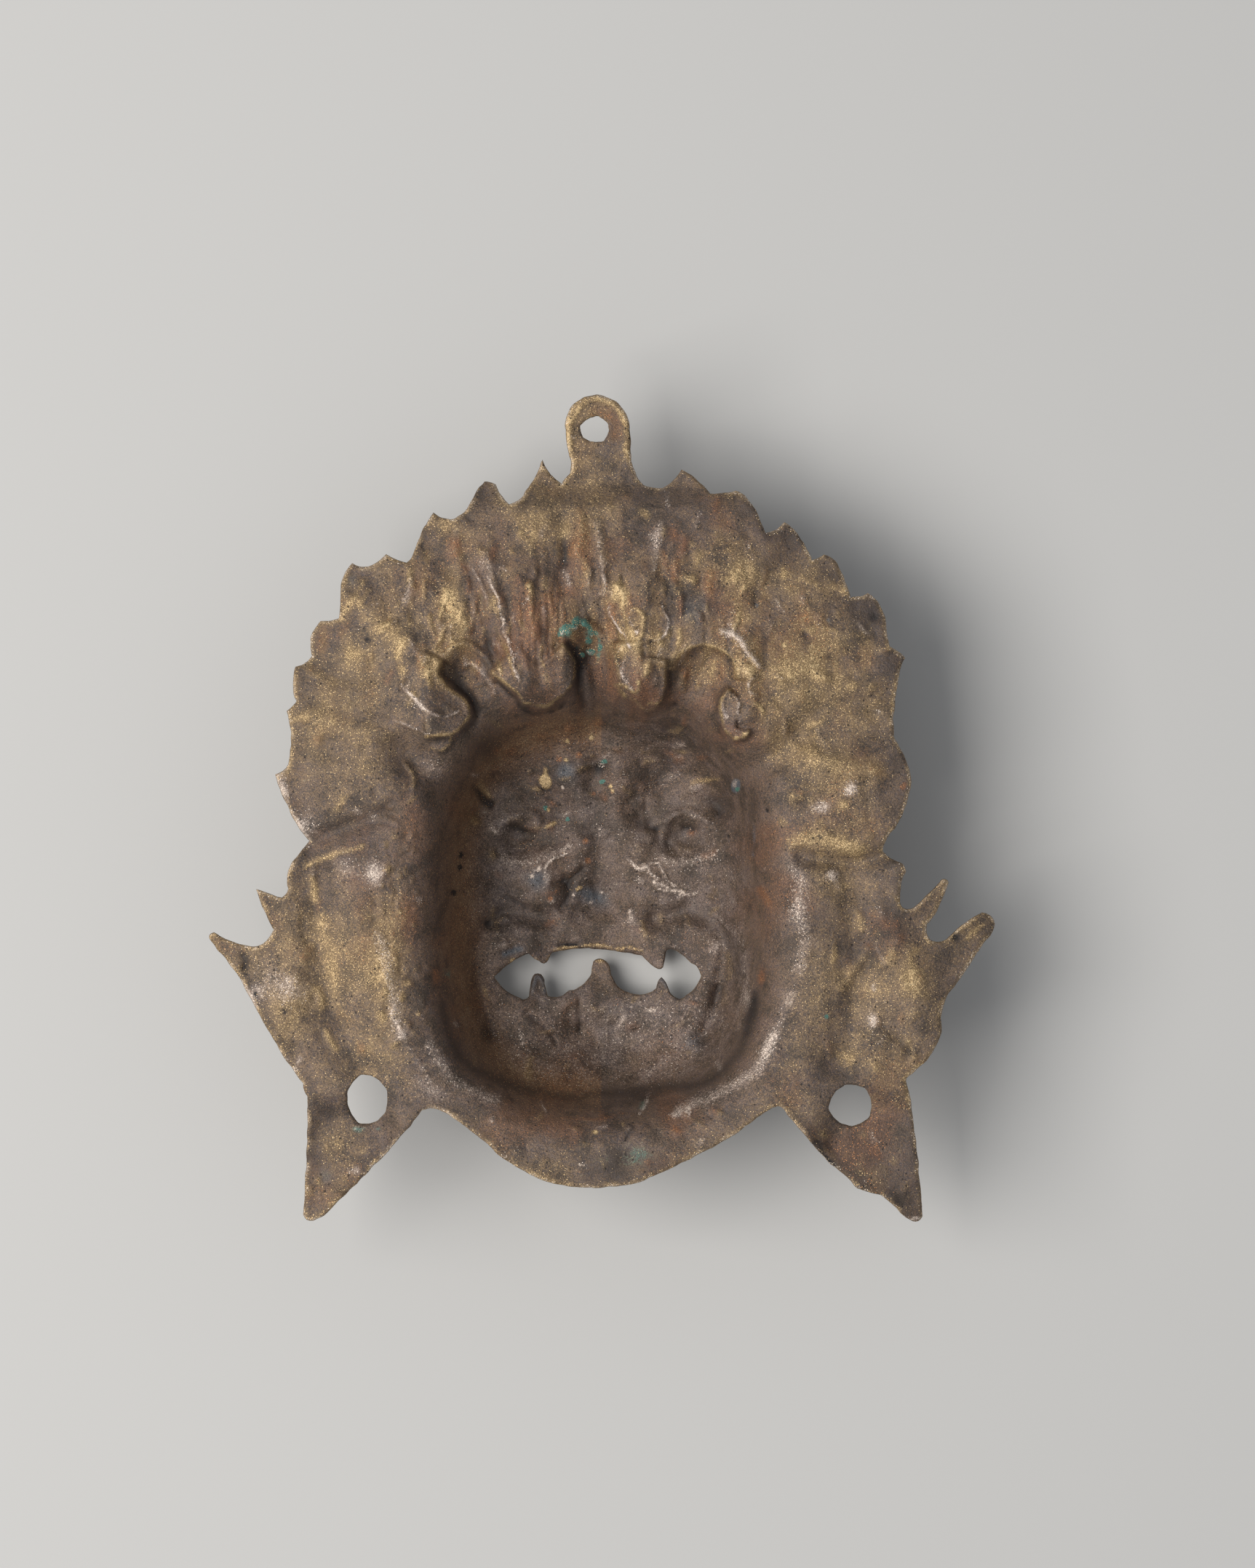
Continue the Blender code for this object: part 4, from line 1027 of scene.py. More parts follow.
# Brows, eyes, nose and cheeks seen from inside the hollow, left half
FACE_LEFT = (
    ridge(2.6, 1.2, PLAIN, 0, (-20.5, 3.4), (-14, 3.6), (-8.4, 1.2)),
    Patch(-15.8, -5.6, 4.2, 3.6, 0, -1.4),
    ridge(0.9, 0.6, PLAIN, 0, (-20.6, -6.4), (-18.4, -2), (-14.6, -1), (-11.4, -3.4)),
    ridge(0.7, -0.5, DARK, 0.7, (-18.6, -3.8), (-16.2, -3.9), (-14.2, -5.2)),
    ridge(0.8, 0.5, GOLD, 0.25, (-19, -3), (-17, -2.2), (-15, -2.2)),
    ridge(0.8, 0.4, GOLD, 0.2, (-17, -7.2), (-15, -7.2), (-13.4, -6.6)),
    # Painted shade: dark furrows along the left brow (this line and the next)
    ridge(0.9, -0.9, DARK, 0.6, (-25.3, 4.8), (-24, 3), (-22.5, 1.3), (-20.8, 0.2)),
    ridge(2.2, -0.9, DARK, 0.3, (-20, 0.4), (-15, -0.4), (-10.6, -1.6), (-6, -2.2), (-2.6, -3.6)),
    ridge(1.6, 0.7, PALE, 0.25, (-19, -9.8), (-14, -10.4), (-9.6, -8.8)),
    ridge(0.6, 0.6, GOLD, 0.5, (-23.9, 5), (-22.6, 3.2), (-21.2, 1.8)),
    *alike(Patch(-27.3, -9.3, 0.5, 0.6, 0, -0.3, DARK, 2.4), (-27.5, -11.5)),
    spot(-28.5, -16.3, 0.6, -0.3, DARK, 2.4),
    ridge(0.22, 0.35, PALE, 1, (-11, -14), (-11.2, -12.3), (-10.8, -11.2), (-9.9, -10.2), (-8.5, -9.6),
        (-5.8, -8.5)),
    *alike(spot(-13.5, -13.3, 0.4, 0.2, PALE, 2), (-12.3, -11.8)),
    tint(-12.6, -14, 2.4, 2.6, BLUE, 0.55),
    ridge(0.5, -0.5, DARK, 0.7, (-7, -12.4), (-7.3, -14), (-8.5, -14.8), (-10.2, -15)),
    ridge(0.9, -0.9, DARK, 0.7, (-3, -11), (-4.2, -12.3), (-5.5, -13.5), (-6.5, -15), (-6.5, -17),
        (-8.5, -20.5)),
    Patch(-1.6, -17.4, 4, 1.8, -20, 0, BLUE, 0.7),
    *alike(spot(0, -16.5, 0.3, 0.1, PALE, 1.7), (-2, -18.5), (-5.5, -17)),
    Patch(-4.3, -15.8, 0.9, 0.4, 35, 0.15, GOLD, 1.3, 2),
    Patch(-7.6, -6, 3.4, 3, 0, -1.2),
    Patch(-7.6, -14, 3, 3.4, 10, -1),
    *alike(Patch(-3.2, -6.6, 0.5, 0.4, 0, 0, RUST, 2.4, 2), (-2.6, -10.3), (-10.1, -17.7)),
    ridge(0.6, -0.6, DARK, 0.6, (-19.5, -17.2), (-17, -18.2), (-14, -20)),
    Patch(-12.3, -20.5, 1.4, 1, 0, 0.1, GREEN, 0.25),
    spot(-22, -22.5, 1, -0.5, DARK, 0.9),
    ridge(0.6, 0.6, GOLD, 0.35, (-18, -21.3), (-19.5, -21.5), (-20.5, -23), (-19.8, -25)),
    Patch(-19, -27, 1.4, 1, 0, 0.2, PALE, 0.35),
    ridge(0.8, -0.4, BLUE, 0.7, (-20, -29), (-17.5, -28.1), (-15, -27.5)),
    tint(-29.8, -32, 1, 1.6, GREEN, 0.4),
    tint(-32, -32.5, 0.8, 1.6, RUST, 0.9),
    Patch(-10.9, 5.1, 1.2, 1.3, 0, 0.35, GOLD, 2.6, 2.2),
    ridge(0.45, 0.3, GOLD, 2.4, (-10.9, 7.9), (-10.95, 6.8), (-10.9, 5.6)),
    ridge(0.22, -0.3, DARK, 1.2, (-12.3, 5.6), (-12.3, 4.2), (-10.9, 3.3), (-9.5, 4.2), (-9.5, 5.6)),
    ridge(0.42, 0.25, GOLD, 2.4, (-11.2, -4.1), (-10.2, -3.4), (-8.9, -3.1)),
    *alike(spot(-8.3, 9.5, 0.5, 0.1, RUST, 2, 2), (-4.4, 10.2)),
    Patch(-6.9, 9.5, 0.5, 0.4, 0, 0.1, GOLD, 1.7, 2),
    *alike(spot(-6.8, 13, 0.4, 0.1, GOLD, 2, 2), (-2, 13.7)),
    tint(-7, 7, 2.4, 2.4, BLUE, 0.7),
    spot(-7.4, 4, 0.35, 0.1, PALE, 2, 2),
    spot(-6.8, -2.3, 0.4, 0.1, GREEN, 1.7, 2),
    Patch(-11, 0, 0.4, 0.5, 0, 0.1, GREEN, 1.7, 2),
    Patch(-10.4, -0.3, 0.3, 0.4, 0, 0.1, GOLD, 2, 2),
    ridge(0.3, 0.2, GOLD, 1, (-2.6, 3.3), (-1.2, 1.9)),
    spot(1.7, 4.1, 0.4, 0.1, GOLD, 1.9, 2),
    spot(2.2, 3.2, 0.3, 0.1, GOLD, 1.9, 2),
    Patch(-0.2, 8, 1.6, 1.8, 0, -0.6, DARK, 0.9),
    spot(-1.4, 2.8, 0.4, 0.1, RUST, 1.2, 2),
    spot(-0.1, 8.3, 0.5, 0.1, PALE, 2, 2),
    *alike(Patch(0.5, 9, 0.5, 0.4, 0, 0.1, GREEN, 2, 2), (0.2, 5.1)),
    ridge(0.25, 0.2, PALE, 0.8, (0.3, 9.7), (1.8, 10.6)),
    ridge(0.5, -0.4, RUST, 0.7, (-0.5, 3), (1.4, 1.2)),
)

# Brows, eyes, nose and cheeks seen from inside the hollow, right half
FACE_RIGHT = (
    ridge(2.6, 1.6, PLAIN, 0, (20, 3.8), (13.6, 3.8), (7.8, 1.2)),
    Patch(22.8, -1, 1.2, 2.4, 0, -0.3, DARK, 0.5),
    ridge(0.9, -0.4, DARK, 0.5, (29, 4.7), (29.2, 0.8), (29, -3)),
    ridge(0.4, 0.2, BLUE, 0.6, (29.3, -2), (29.4, -6), (29.3, -10)),
    Patch(16.8, -5.4, 4.4, 3.8, 0, -1.4),
    ridge(0.9, 0.6, PLAIN, 0, (12, -6.4), (13.2, -2.2), (17, -0.6), (21.4, -3.6)),
    ridge(0.7, -0.5, DARK, 0.7, (18.7, -4.6), (17, -3.7), (15.3, -4)),
    ridge(0.8, 0.4, GOLD, 0.25, (14.6, -6.8), (16, -8), (18, -8.4)),
    # Painted shade: dark furrow along the right brow
    ridge(2, -0.8, DARK, 0.28, (24, 1), (18, 0.8), (12, -0.6), (7.4, -2.6)),
    ridge(1.6, 0.7, PALE, 0.3, (12.6, -9.6), (17, -10.4), (21.6, -9.2)),
    # Painted shade on the left side of the right eye hollow
    ridge(1.4, -0.7, DARK, 0.35, (9.5, -3), (11.4, -4.6), (12.4, -6.6), (13.4, -8.5)),
    ridge(0.5, -0.5, DARK, 0.6, (8.3, -4.1), (9.2, -3.8), (11.5, -4.6)),
    Patch(7.5, -8, 2, 1.4, 0, 0.4, GOLD, 0.25),
    beads(0.28, 0.45, PALE, 1.5, (5.2, -9.6), (6.2, -10.9), (7.6, -12), (8.9, -11.2), (9.7, -12.9),
        (11, -13.4), (10.4, -14.6), (12.2, -15.2), (13.6, -16.3), (15.4, -16.2), (17.2, -16.9),
        (19.2, -16.2)),
    beads(0.25, 0.35, PALE, 1.3, (9, -11), (10.8, -10.8), (12, -12.4), (13, -14.2), (15, -15.4)),
    beads(0.22, 0.3, PALE, 1.1, (10.2, -14.8), (11.6, -16), (13.4, -16.6)),
    Patch(8, -11.4, 2.6, 1.1, -25, 0.1, PALE, 0.35),
    Patch(13.5, -15.4, 4.2, 1.2, -12, 0.1, PALE, 0.35),
    ridge(0.8, 0.4, PALE, 0.5, (5.5, -19), (6, -21), (5.7, -23)),
    ridge(0.8, 0.3, GOLD, 0.5, (8, -21.5), (8.3, -24), (9, -26)),
    ridge(0.8, 0.2, GOLD, 0.4, (11.3, -20), (12, -23)),
    beads(0.4, 0.4, PALE, 0.5, (21, -20.5), (23.5, -22), (25, -23.8), (26.3, -24.8)),
    Patch(22.5, -27, 1.2, 1.6, 0, 0.2, PALE, 0.45),
    ridge(0.8, 0.5, GOLD, 0.35, (24.8, -27.5), (25, -31), (24.6, -34)),
    ridge(1, -0.8, DARK, 0.3, (23.3, -34), (22.5, -37), (21.8, -39)),
    ridge(0.6, 0.4, GOLD, 0.3, (24.4, -34), (24, -36.5), (23.5, -39)),
    ridge(1.1, -0.4, DARK, 0.2, (29, -36), (28.7, -40), (27.5, -44)),
    tint(28.3, -37, 1, 2.4, PALE, 0.5),
    ridge(0.8, 0.1, RUST, 0.6, (30.3, -15), (31.4, -17), (32.5, -19)),
    tint(31, -32.5, 0.7, 1.8, RUST, 0.9),
    ridge(0.35, 0.2, PALE, 0.8, (31.4, -11), (31.3, -12.5)),
    Patch(32.1, -0.5, 0.4, 0.5, 0, -0.4, DARK, 2),
    *alike(spot(21.3, -4.5, 0.35, -0.2, DARK, 2), (24.7, -5.5)),
)

# Beads, cracks and stains along the mouth
MOUTH_EDGE = (
    beads(0.4, 0.45, GOLD, 2, (-13, -29), (-12.2, -30.6), (-11.2, -30.9), (-10.2, -30), (-9.8, -28.6)),
    beads(0.38, 0.4, GOLD, 2, (-9.8, -28), (-7.3, -27.5), (-5.7, -27.3), (-3.6, -26.9), (-1.4, -26.8),
        (1.8, -27.2), (3.5, -27.5), (5, -27.2), (8.3, -28.2)),
    ridge(0.4, -0.5, DARK, 1.6, (-9, -26.9), (-6.5, -26.8), (-4, -26.6)),
    spot(-17.3, -29.9, 0.5, 0.2, GOLD, 2),
    Patch(-0.2, -29.8, 0.8, 0.5, 0, 0.2, GOLD, 1.1),
    *alike(ridge(0.5, 0.3, BLUE, 0.5, (-13.8, -36.6), (-12.7, -33.2), (-11.4, -34), (-10.8, -36.8)),
        ((10.9, -35.4), (11.9, -33.5), (13, -35.6))),
)

# Chin, lower rim and lobes
CHIN_FORMS = (
    # Painted shade: dark ring where the hollow's floor meets its wall
    ridge(1.5, -0.3, DARK, 0.75, (-30.5, -38), (-29, -44), (-26, -49), (-22, -51.5), (-17, -53.5),
        (-11, -55.2), (-5, -56.2), (-2, -55.4), (5, -55), (15, -54), (20, -53), (24, -50), (27, -46),
        (29, -40), (29.5, -36)),
    # Painted highlights: pale along the lit crests of the chin roll (this line and the next)
    ridge(1.4, 0.2, PALE, 0.5, (-33, -45), (-30, -50), (-27, -53), (-20, -56)),
    ridge(1.5, 0.3, PALE, 0.6, (15, -58), (20, -56), (25, -53.5), (30, -50), (33, -44)),
    ridge(0.4, 0.2, PALE, 0.9, (-28.5, -41), (-27.3, -42.7)),
    spot(-22.5, -44, 2, -0.7, DARK, 0.6),
    ridge(0.6, -0.6, DARK, 0.6, (-15, -39.5), (-13, -41.5), (-10.5, -43.5), (-8.5, -47)),
    ridge(0.5, -0.5, DARK, 0.5, (-4.5, -37), (-4.3, -40.5), (-4.5, -44)),
    *alike(ridge(0.22, -0.25, DARK, 0.9, (-18.5, -53.7), (-17, -57)), ((13.6, -56.5), (14.8, -58.7),
        (16.2, -61.5)), ((34, -45), (35, -46.7))),
    ridge(0.25, 0.25, PALE, 0.8, (-12, -56.2), (-10.2, -59.2)),
    ridge(0.22, 0.25, PALE, 0.8, (16.3, -59), (17, -57.5), (17.2, -59.5)),
    ledge(0.5, 0.5, RUST, 0.4, 2, (-8, -59.5), (-4, -59.9), (0, -59.8), (5, -58.9)),
    Patch(-1.2, -62.2, 0.5, 0.4, 0, 0.1, GOLD, 2.2, 2),
    ridge(0.3, 0.2, GOLD, 1, (4.3, -60.5), (4.3, -61.3)),
    tint(3.5, -68, 11.5, 3.6, DARK, 0.55),
    tint(6, -67, 7, 3, GREEN, 0.4),
    beads(0.45, 0.3, PALE, 1.2, (9.5, -55), (8.6, -57), (6.9, -59.3)),
    beads(0.6, 0.2, DARK, 0.8, (9, -54.6), (8, -56.6), (6.4, -59)),
    Patch(8, -57.2, 1, 1.8, -28, 0, GREEN, 0.5),
    ridge(0.35, -0.5, DARK, 1, (6.8, -60.3), (5.2, -62.8), (4.3, -64.2)),
    tint(18, -45.5, 2.4, 2, BLUE, 0.3),
    ridge(0.6, 0.5, GOLD, 0.3, (13.5, -44.5), (14, -43), (18, -41)),
    spot(9.7, -39.5, 0.8, 0.3, PALE, 0.7),
    Patch(-46.6, -61.8, 1.9, 0.8, 0, 0.15, GREEN, 0.8),
    Patch(-46.4, -61.7, 1.6, 0.5, 0, 0.05, PALE, 0.8),
    Patch(-42.7, -61.6, 0.8, 0.5, 0, 0.1, GREEN, 0.6),
    Patch(-48.4, -69.7, 2.2, 0.9, 0, 0.1, PALE, 0.45),
    Patch(-53, -71, 1.8, 2.2, 0, -0.2, BLUE, 0.6),
    ledge(0.4, 0.6, GOLD, 0.5, 1.6, (41.6, -64.6), (43, -65.6), (44.2, -67), (44.9, -68.7)),
    ridge(0.5, -0.7, DARK, 1, (42, -66), (43.6, -67.6), (45.2, -69.4)),
    Patch(60.4, -79, 0.8, 0.5, 0, 0.1, PALE, 1.3),
    tint(50, -70, 7, 6, DARK, 0.3),
    tint(-52, -64, 4, 9, DARK, 0.25),
)

# Ears and the shoulder between them and the hollow
EARS = (
    *alike(ridge(4.6, 1.5, PLAIN, 0, (-53.6, -14), (-54.4, -26), (-51, -40), (-46.6, -49)), ((48.6, -15),
        (49.6, -28), (48, -40), (45.8, -48))),
    # Painted highlight: a pale spot where the left ear's swell catches the light
    Patch(-43.3, -12.5, 2, 3, 10, 0.2, PALE, 0.95),
    tint(-49, -11.5, 3.4, 2.8, PALE, 0.4),
    ridge(0.7, 0.3, GOLD, 0.7, (-57.3, -11.4), (-53, -9.6), (-48.9, -8.2), (-44.8, -7.2)),
    ridge(0.7, 0.3, GOLD, 0.6, (-55.7, -12.4), (-55, -15.5), (-54.7, -18.6)),
    ridge(1.5, 0.1, GOLD, 0.3, (-53.6, -21.2), (-52.1, -29.1), (-51, -35.3), (-48.9, -41.5)),
    Patch(-61, -34, 7.4, 4, -30, 0, PALE, 0.52),
    Patch(-60, -40, 5, 7, -24, 0, GOLD, 0.3),
    # Painted highlight along the left shoulder's crest
    ridge(1.6, 0.3, PALE, 0.55, (-42.7, -24.9), (-41.6, -27), (-40.6, -32), (-39.6, -37.4), (-38.5, -43.6)),
    ridge(0.8, -0.9, DARK, 0.9, (-69.4, -27.4), (-68.2, -29.6), (-68.9, -31.6)),
    spot(-61, -39, 0.6, -0.6, DARK, 1.9),
    ridge(0.2, 0.2, DARK, 0.7, (-61.6, -38.6), (-61.2, -38.1), (-60.4, -38.4), (-60.2, -39.3)),
    spot(-59.5, -41.3, 0.3, -0.3, DARK, 2),
    Patch(-67, -36, 2, 3, -30, 0, PALE, 0.6),
    Patch(-32.5, -54, 5, 2.6, -38, 0, PALE, 0.4),
    tint(-37, -21, 2.6, 6, RUST, 0.5),
    tint(-36.5, -3, 4, 8, RUST, 0.35),
    Patch(-73, -26.5, 2.4, 1.4, -35, 0.2, RUST, 0.3),
    spot(-68.5, -28.6, 1.6, 0.3, BLUE, 0.5),
    spot(-64.5, -18.2, 1.4, 0.2, RUST, 0.3),
    # Painted highlight along the right shoulder's crest
    ridge(2, 0.4, PALE, 0.45, (36.9, -11), (38.5, -14.7), (37.9, -20), (39, -25.2), (37.9, -30.5)),
    Patch(37.4, -19.6, 2.2, 2.4, 0, 0.1, PALE, 0.35),
    Patch(44.3, -12.8, 1.6, 1.4, 0, 0.1, PALE, 1.05),
    # Painted highlight along the lower right shoulder's crest
    ridge(1.6, 0.2, PALE, 0.35, (36.6, -35), (34, -42), (31.4, -47)),
    Patch(68.1, -24.7, 0.9, 0.8, 0, -0.6, DARK, 1.3),
    ridge(0.4, 0.2, GOLD, 0.8, (70, -25.6), (72.9, -22.6), (74.4, -22)),
    ridge(0.3, 0.2, PALE, 1, (52.9, -33.4), (52.1, -34.4), (52.5, -35.6)),
    Patch(52.2, -40.8, 0.8, 1.3, 0, 0.1, PALE, 0.9),
    tint(52.4, -40.5, 3, 4.4, PALE, 0.3),
    spot(56.2, -40.6, 0.8, -0.4, DARK, 0.9),
    ridge(0.7, -0.6, DARK, 0.4, (53.3, -41.1), (56.8, -44), (59.7, -47.5)),
    ridge(0.7, 0.5, GOLD, 0.3, (58.1, -44.3), (59.5, -46.2), (60.2, -49.1)),
    ridge(1, 0.5, GOLD, 0.2, (51.7, -26.3), (49.4, -30), (46.9, -33.7), (45.4, -35.8)),
    spot(43.7, -40.2, 0.4, 0.1, GREEN, 1.9, 2),
    Patch(59.9, -33.2, 3, 4.4, 20, 0, GOLD, 0.4),
    tint(47, -47.5, 2.6, 2.2, GOLD, 0.35),
    tint(57, -12, 1, 3, DARK, 0.4),
    tint(48, -24, 10, 16, GOLD, 0.24),
    tint(-52, -26, 9, 17, GOLD, 0.16),
    tint(-41, -30, 5, 16, GOLD, 0.34),
    tint(-42, -24, 5, 12, RUST, 0.25),
    tint(-49, -66, 6, 10, GOLD, 0.3),
    Patch(-47, -72, 4, 6, 30, 0, RUST, 0.3),
    tint(50, -67, 9, 9, RUST, 0.22),
    tint(50, -66, 9, 9, DARK, 0.34),
    Patch(52, -72, 4, 3, -20, 0, GOLD, 0.35),
    beads(0.5, 0.2, PALE, 0.5, (-41, -38), (-38.6, -42.6), (-36, -47), (-32, -53)),
    spot(-66.5, -36, 0.4, -0.3, DARK, 1.6, 2),
    spot(-67.2, -34.8, 0.35, -0.3, DARK, 1.6, 2),
)


@dataclass(frozen=True)
class BackSkin:
    """The hollow back of the mask: the broad form with its worked lines, dents, stains and wear."""

    step: float = 0.42
    plain_share: float = 1.7
    warp: float = 0.22
    warp_size: float = 2.2
    swell: float = 0.34
    swell_size: float = 8.0
    dimples: float = 0.10
    dimple_size: float = 2.1
    grain: float = 0.05
    grain_size: float = 0.9
    edge_lip: float = 0.25
    edge_lip_width: float = 0.9
    crevice_reach: float = 2.4
    crevice_depth: float = 0.9
    forms: tuple[Form, ...] = (
        CROWN_LEFT + CROWN_RIGHT + HALO + FACE_LEFT + FACE_RIGHT + MOUTH_EDGE + CHIN_FORMS + EARS
    )

    def detail(self, x: Grid, y: Grid) -> Grid:
        """Heights of the worked forms alone, without the broad shell."""
        sheet = Sheet.start(x, y)
        sheet.press(SHARED_MOUNDS + SHARED_RIDGES + self.forms)
        return sheet.height

    def proud(self, x: Grid, y: Grid) -> Grid:
        """How far each place stands out of the forms round it, below 0 in a crevice."""
        field = HeightField.sample(self.detail)
        return field.at(x, y) - field.softened(self.crevice_reach).at(x, y)

    def work(self, form: CastForm, x: Grid, y: Grid, edge_away: Grid) -> Sheet:
        """Works the whole back.

        Args:
            form: The broad form under it.
            x: Places across.
            y: Places up.
            edge_away: Distance of each place from the outline.

        Returns:
            The sheet, with the back's heights and tones.
        """
        bent_x = x + self.warp * layered_noise(x, y, self.warp_size, 2, 11)
        bent_y = y + self.warp * layered_noise(x, y, self.warp_size, 2, 15)
        sheet = Sheet.start(bent_x, bent_y)
        sheet.press(self.forms + flutes())
        for marks in WAX_MARKS:
            sheet.press(marks.forms())
        reach, _ = form.reach(x, y)
        in_hollow = smooth_step(-reach / 6 + 0.4)
        relief = self.swell * layered_noise(x, y, self.swell_size, 2, 21) * (1 + 0.8 * in_hollow)
        relief += self.dimples * layered_noise(x, y, self.dimple_size, 2, 31) * (0.8 + 0.8 * in_hollow)
        relief += self.grain * layered_noise(x, y, self.grain_size, 2, 41)
        relief += self.edge_lip * np.exp(-((edge_away - 0.5) / self.edge_lip_width) ** 2)
        flat = np.zeros(x.shape)
        for cx, cy, radius, _ in form.seats:
            flat = np.maximum(flat, 1 - smooth_step((np.hypot(x - cx, y - cy) - radius) / 3))
        sheet.height = form.height(x, y) + (sheet.height + relief) * (1 - 0.8 * flat)
        self.stain(sheet, x, y, reach, edge_away)
        sheet.x = x
        sheet.y = y
        return sheet

    def stain(self, sheet: Sheet, x: Grid, y: Grid, reach: Grid, edge_away: Grid) -> None:
        """Broad colour of the back: gold grains outside, brown shoulder, dark hollow, with painted light on
        the hollow's shaded left wall, painted shade in crevices and paler, more golden proud places that are
        partly wear and partly painted highlight.

        Args:
            sheet: The sheet to stain.
            x: Places across.
            y: Places up.
            reach: Distance outside the face hollow's opening.
            edge_away: Distance of each place from the outline.
        """
        outside = smooth_step((reach - 4) / 9)
        cavity = smooth_step(-reach / 7 + 0.2)
        cloud = layered_noise(x, y, 13.0, 3, 51)
        streak = value_noise(2.6 * x, 0.45 * y, 3.2, 57) * np.exp(-(((y - 32) / 16) ** 2))
        left = smooth_step(0.5 - x / 60)
        fleck = layered_noise(x, y, 1.8, 2, 59)
        sheet.stain(RUST, 0.12 * outside)
        sheet.stain(GOLD, (0.19 + 0.02 * left + 0.26 * cloud + 0.22 * streak + 0.10 * fleck) * outside)
        sheet.stain(RUST, 0.22 * np.exp(-(((reach - 2.5) / 5.5) ** 2)) + 0.12 * cavity)
        rust_cloud = smooth_step(layered_noise(x, y, 9.0, 3, 53))
        sheet.stain(RUST, 0.30 * rust_cloud * (1 - 0.6 * cavity) + 0.25 * streak)
        # Painted light: the hollow's left wall, in shade from the light on the left, is lightened with brown
        # and gold
        painted_light_left_wall = np.exp(-(((reach + 3.0) / 4.0) ** 2)) * (x < 0)
        sheet.stain(RUST, 0.40 * painted_light_left_wall)
        sheet.stain(GOLD, 0.34 * painted_light_left_wall)
        crown = smooth_step((y - 16) / 8) * smooth_step((60 - y) / 10) * smooth_step((44 - abs(x)) / 16)
        sheet.stain(RUST, 0.12 * crown)
        sheet.stain(DARK, (0.06 + 0.24 * smooth_step(-cloud) * (1.3 - left) - 0.10 * fleck) * outside)
        sheet.stain(BLUE, 0.22 * cavity * (1 + 0.6 * layered_noise(x, y, 9.0, 2, 55)) - 0.10 * streak)
        sheet.stain(RUST, 0.06 * cavity)
        chin = cavity * smooth_step((-36 - y) / 5)
        sheet.stain(PALE, 0.06 + 0.12 * cavity + 0.12 * chin)
        # Painted shade in crevices below the forms round them; proud places paler and more golden, partly as
        # worn crests and partly as painted highlight
        proud = self.proud(x, y) / self.crevice_depth
        sheet.stain(DARK, 0.42 * smooth_step(-proud) * (0.7 + 0.3 * cavity))
        sheet.stain(PALE, 0.16 * smooth_step(proud))
        sheet.stain(GOLD, 0.22 * smooth_step(proud) * outside)
        sheet.stain(DARK, 0.30 * np.exp(-((edge_away / 2.2) ** 2)))
        wear = 0.3 + 0.7 * smooth_step(0.5 + 1.1 * layered_noise(x, y, 2.6, 2, 87))
        sheet.stain(GOLD, 0.9 * wear * np.exp(-(((edge_away - 0.1) / 0.38) ** 2)))
        sheet.stain(PALE, 0.8 * wear * np.exp(-(((edge_away - 0.1) / 0.28) ** 2)))


def both_sides(forms: tuple[Form, ...]) -> tuple[Form, ...]:
    """The given forms and their mirror images across the middle line.

    Args:
        forms: Forms on one side.

    Returns:
        The forms on both sides.
    """
    result = list(forms)
    for form in forms:
        if isinstance(form, Patch):
            result.append(replace(form, x=-form.x, turn=-form.turn))
        else:
            result.append(replace(form, points=tuple((-x, y) for x, y in form.points)))
    return tuple(result)


@dataclass(frozen=True)
class Skull:
    """One small skull of the crown on the face side, by its middle and its radius."""

    x: float
    y: float
    radius: float

    def forms(self) -> tuple[Form, ...]:
        """The skull's dome, sockets, nose and teeth.

        Returns:
            The forms, with rises out of the face.
        """
        x, y, r = self.x, self.y, self.radius
        parts: list[Form] = [
            Patch(x, y + 0.15 * r, r, 0.95 * r, 0, 2.4, GOLD, 0.3, 2),
            Patch(x, y - 0.75 * r, 0.62 * r, 0.42 * r, 0, 1.6, PLAIN, 0, 2),
            Patch(x - 0.38 * r, y - 0.08 * r, 0.3 * r, 0.28 * r, 20, -1.5, DARK, 0.9, 2),
            Patch(x + 0.38 * r, y - 0.08 * r, 0.3 * r, 0.28 * r, -20, -1.5, DARK, 0.9, 2),
            Patch(x, y - 0.42 * r, 0.13 * r, 0.18 * r, 0, -1, DARK, 0.9, 2),
            ridge(0.1 * r, -0.7, DARK, 0.6, (x - 0.5 * r, y - 0.76 * r), (x, y - 0.84 * r),
                  (x + 0.5 * r, y - 0.76 * r)),
        ]
        for number in range(5):
            gap = x + (number - 2) * 0.22 * r
            parts.append(ridge(0.05 * r, -0.5, DARK, 0.4, (gap, y - 0.62 * r), (gap, y - 0.98 * r)))
        return tuple(parts)


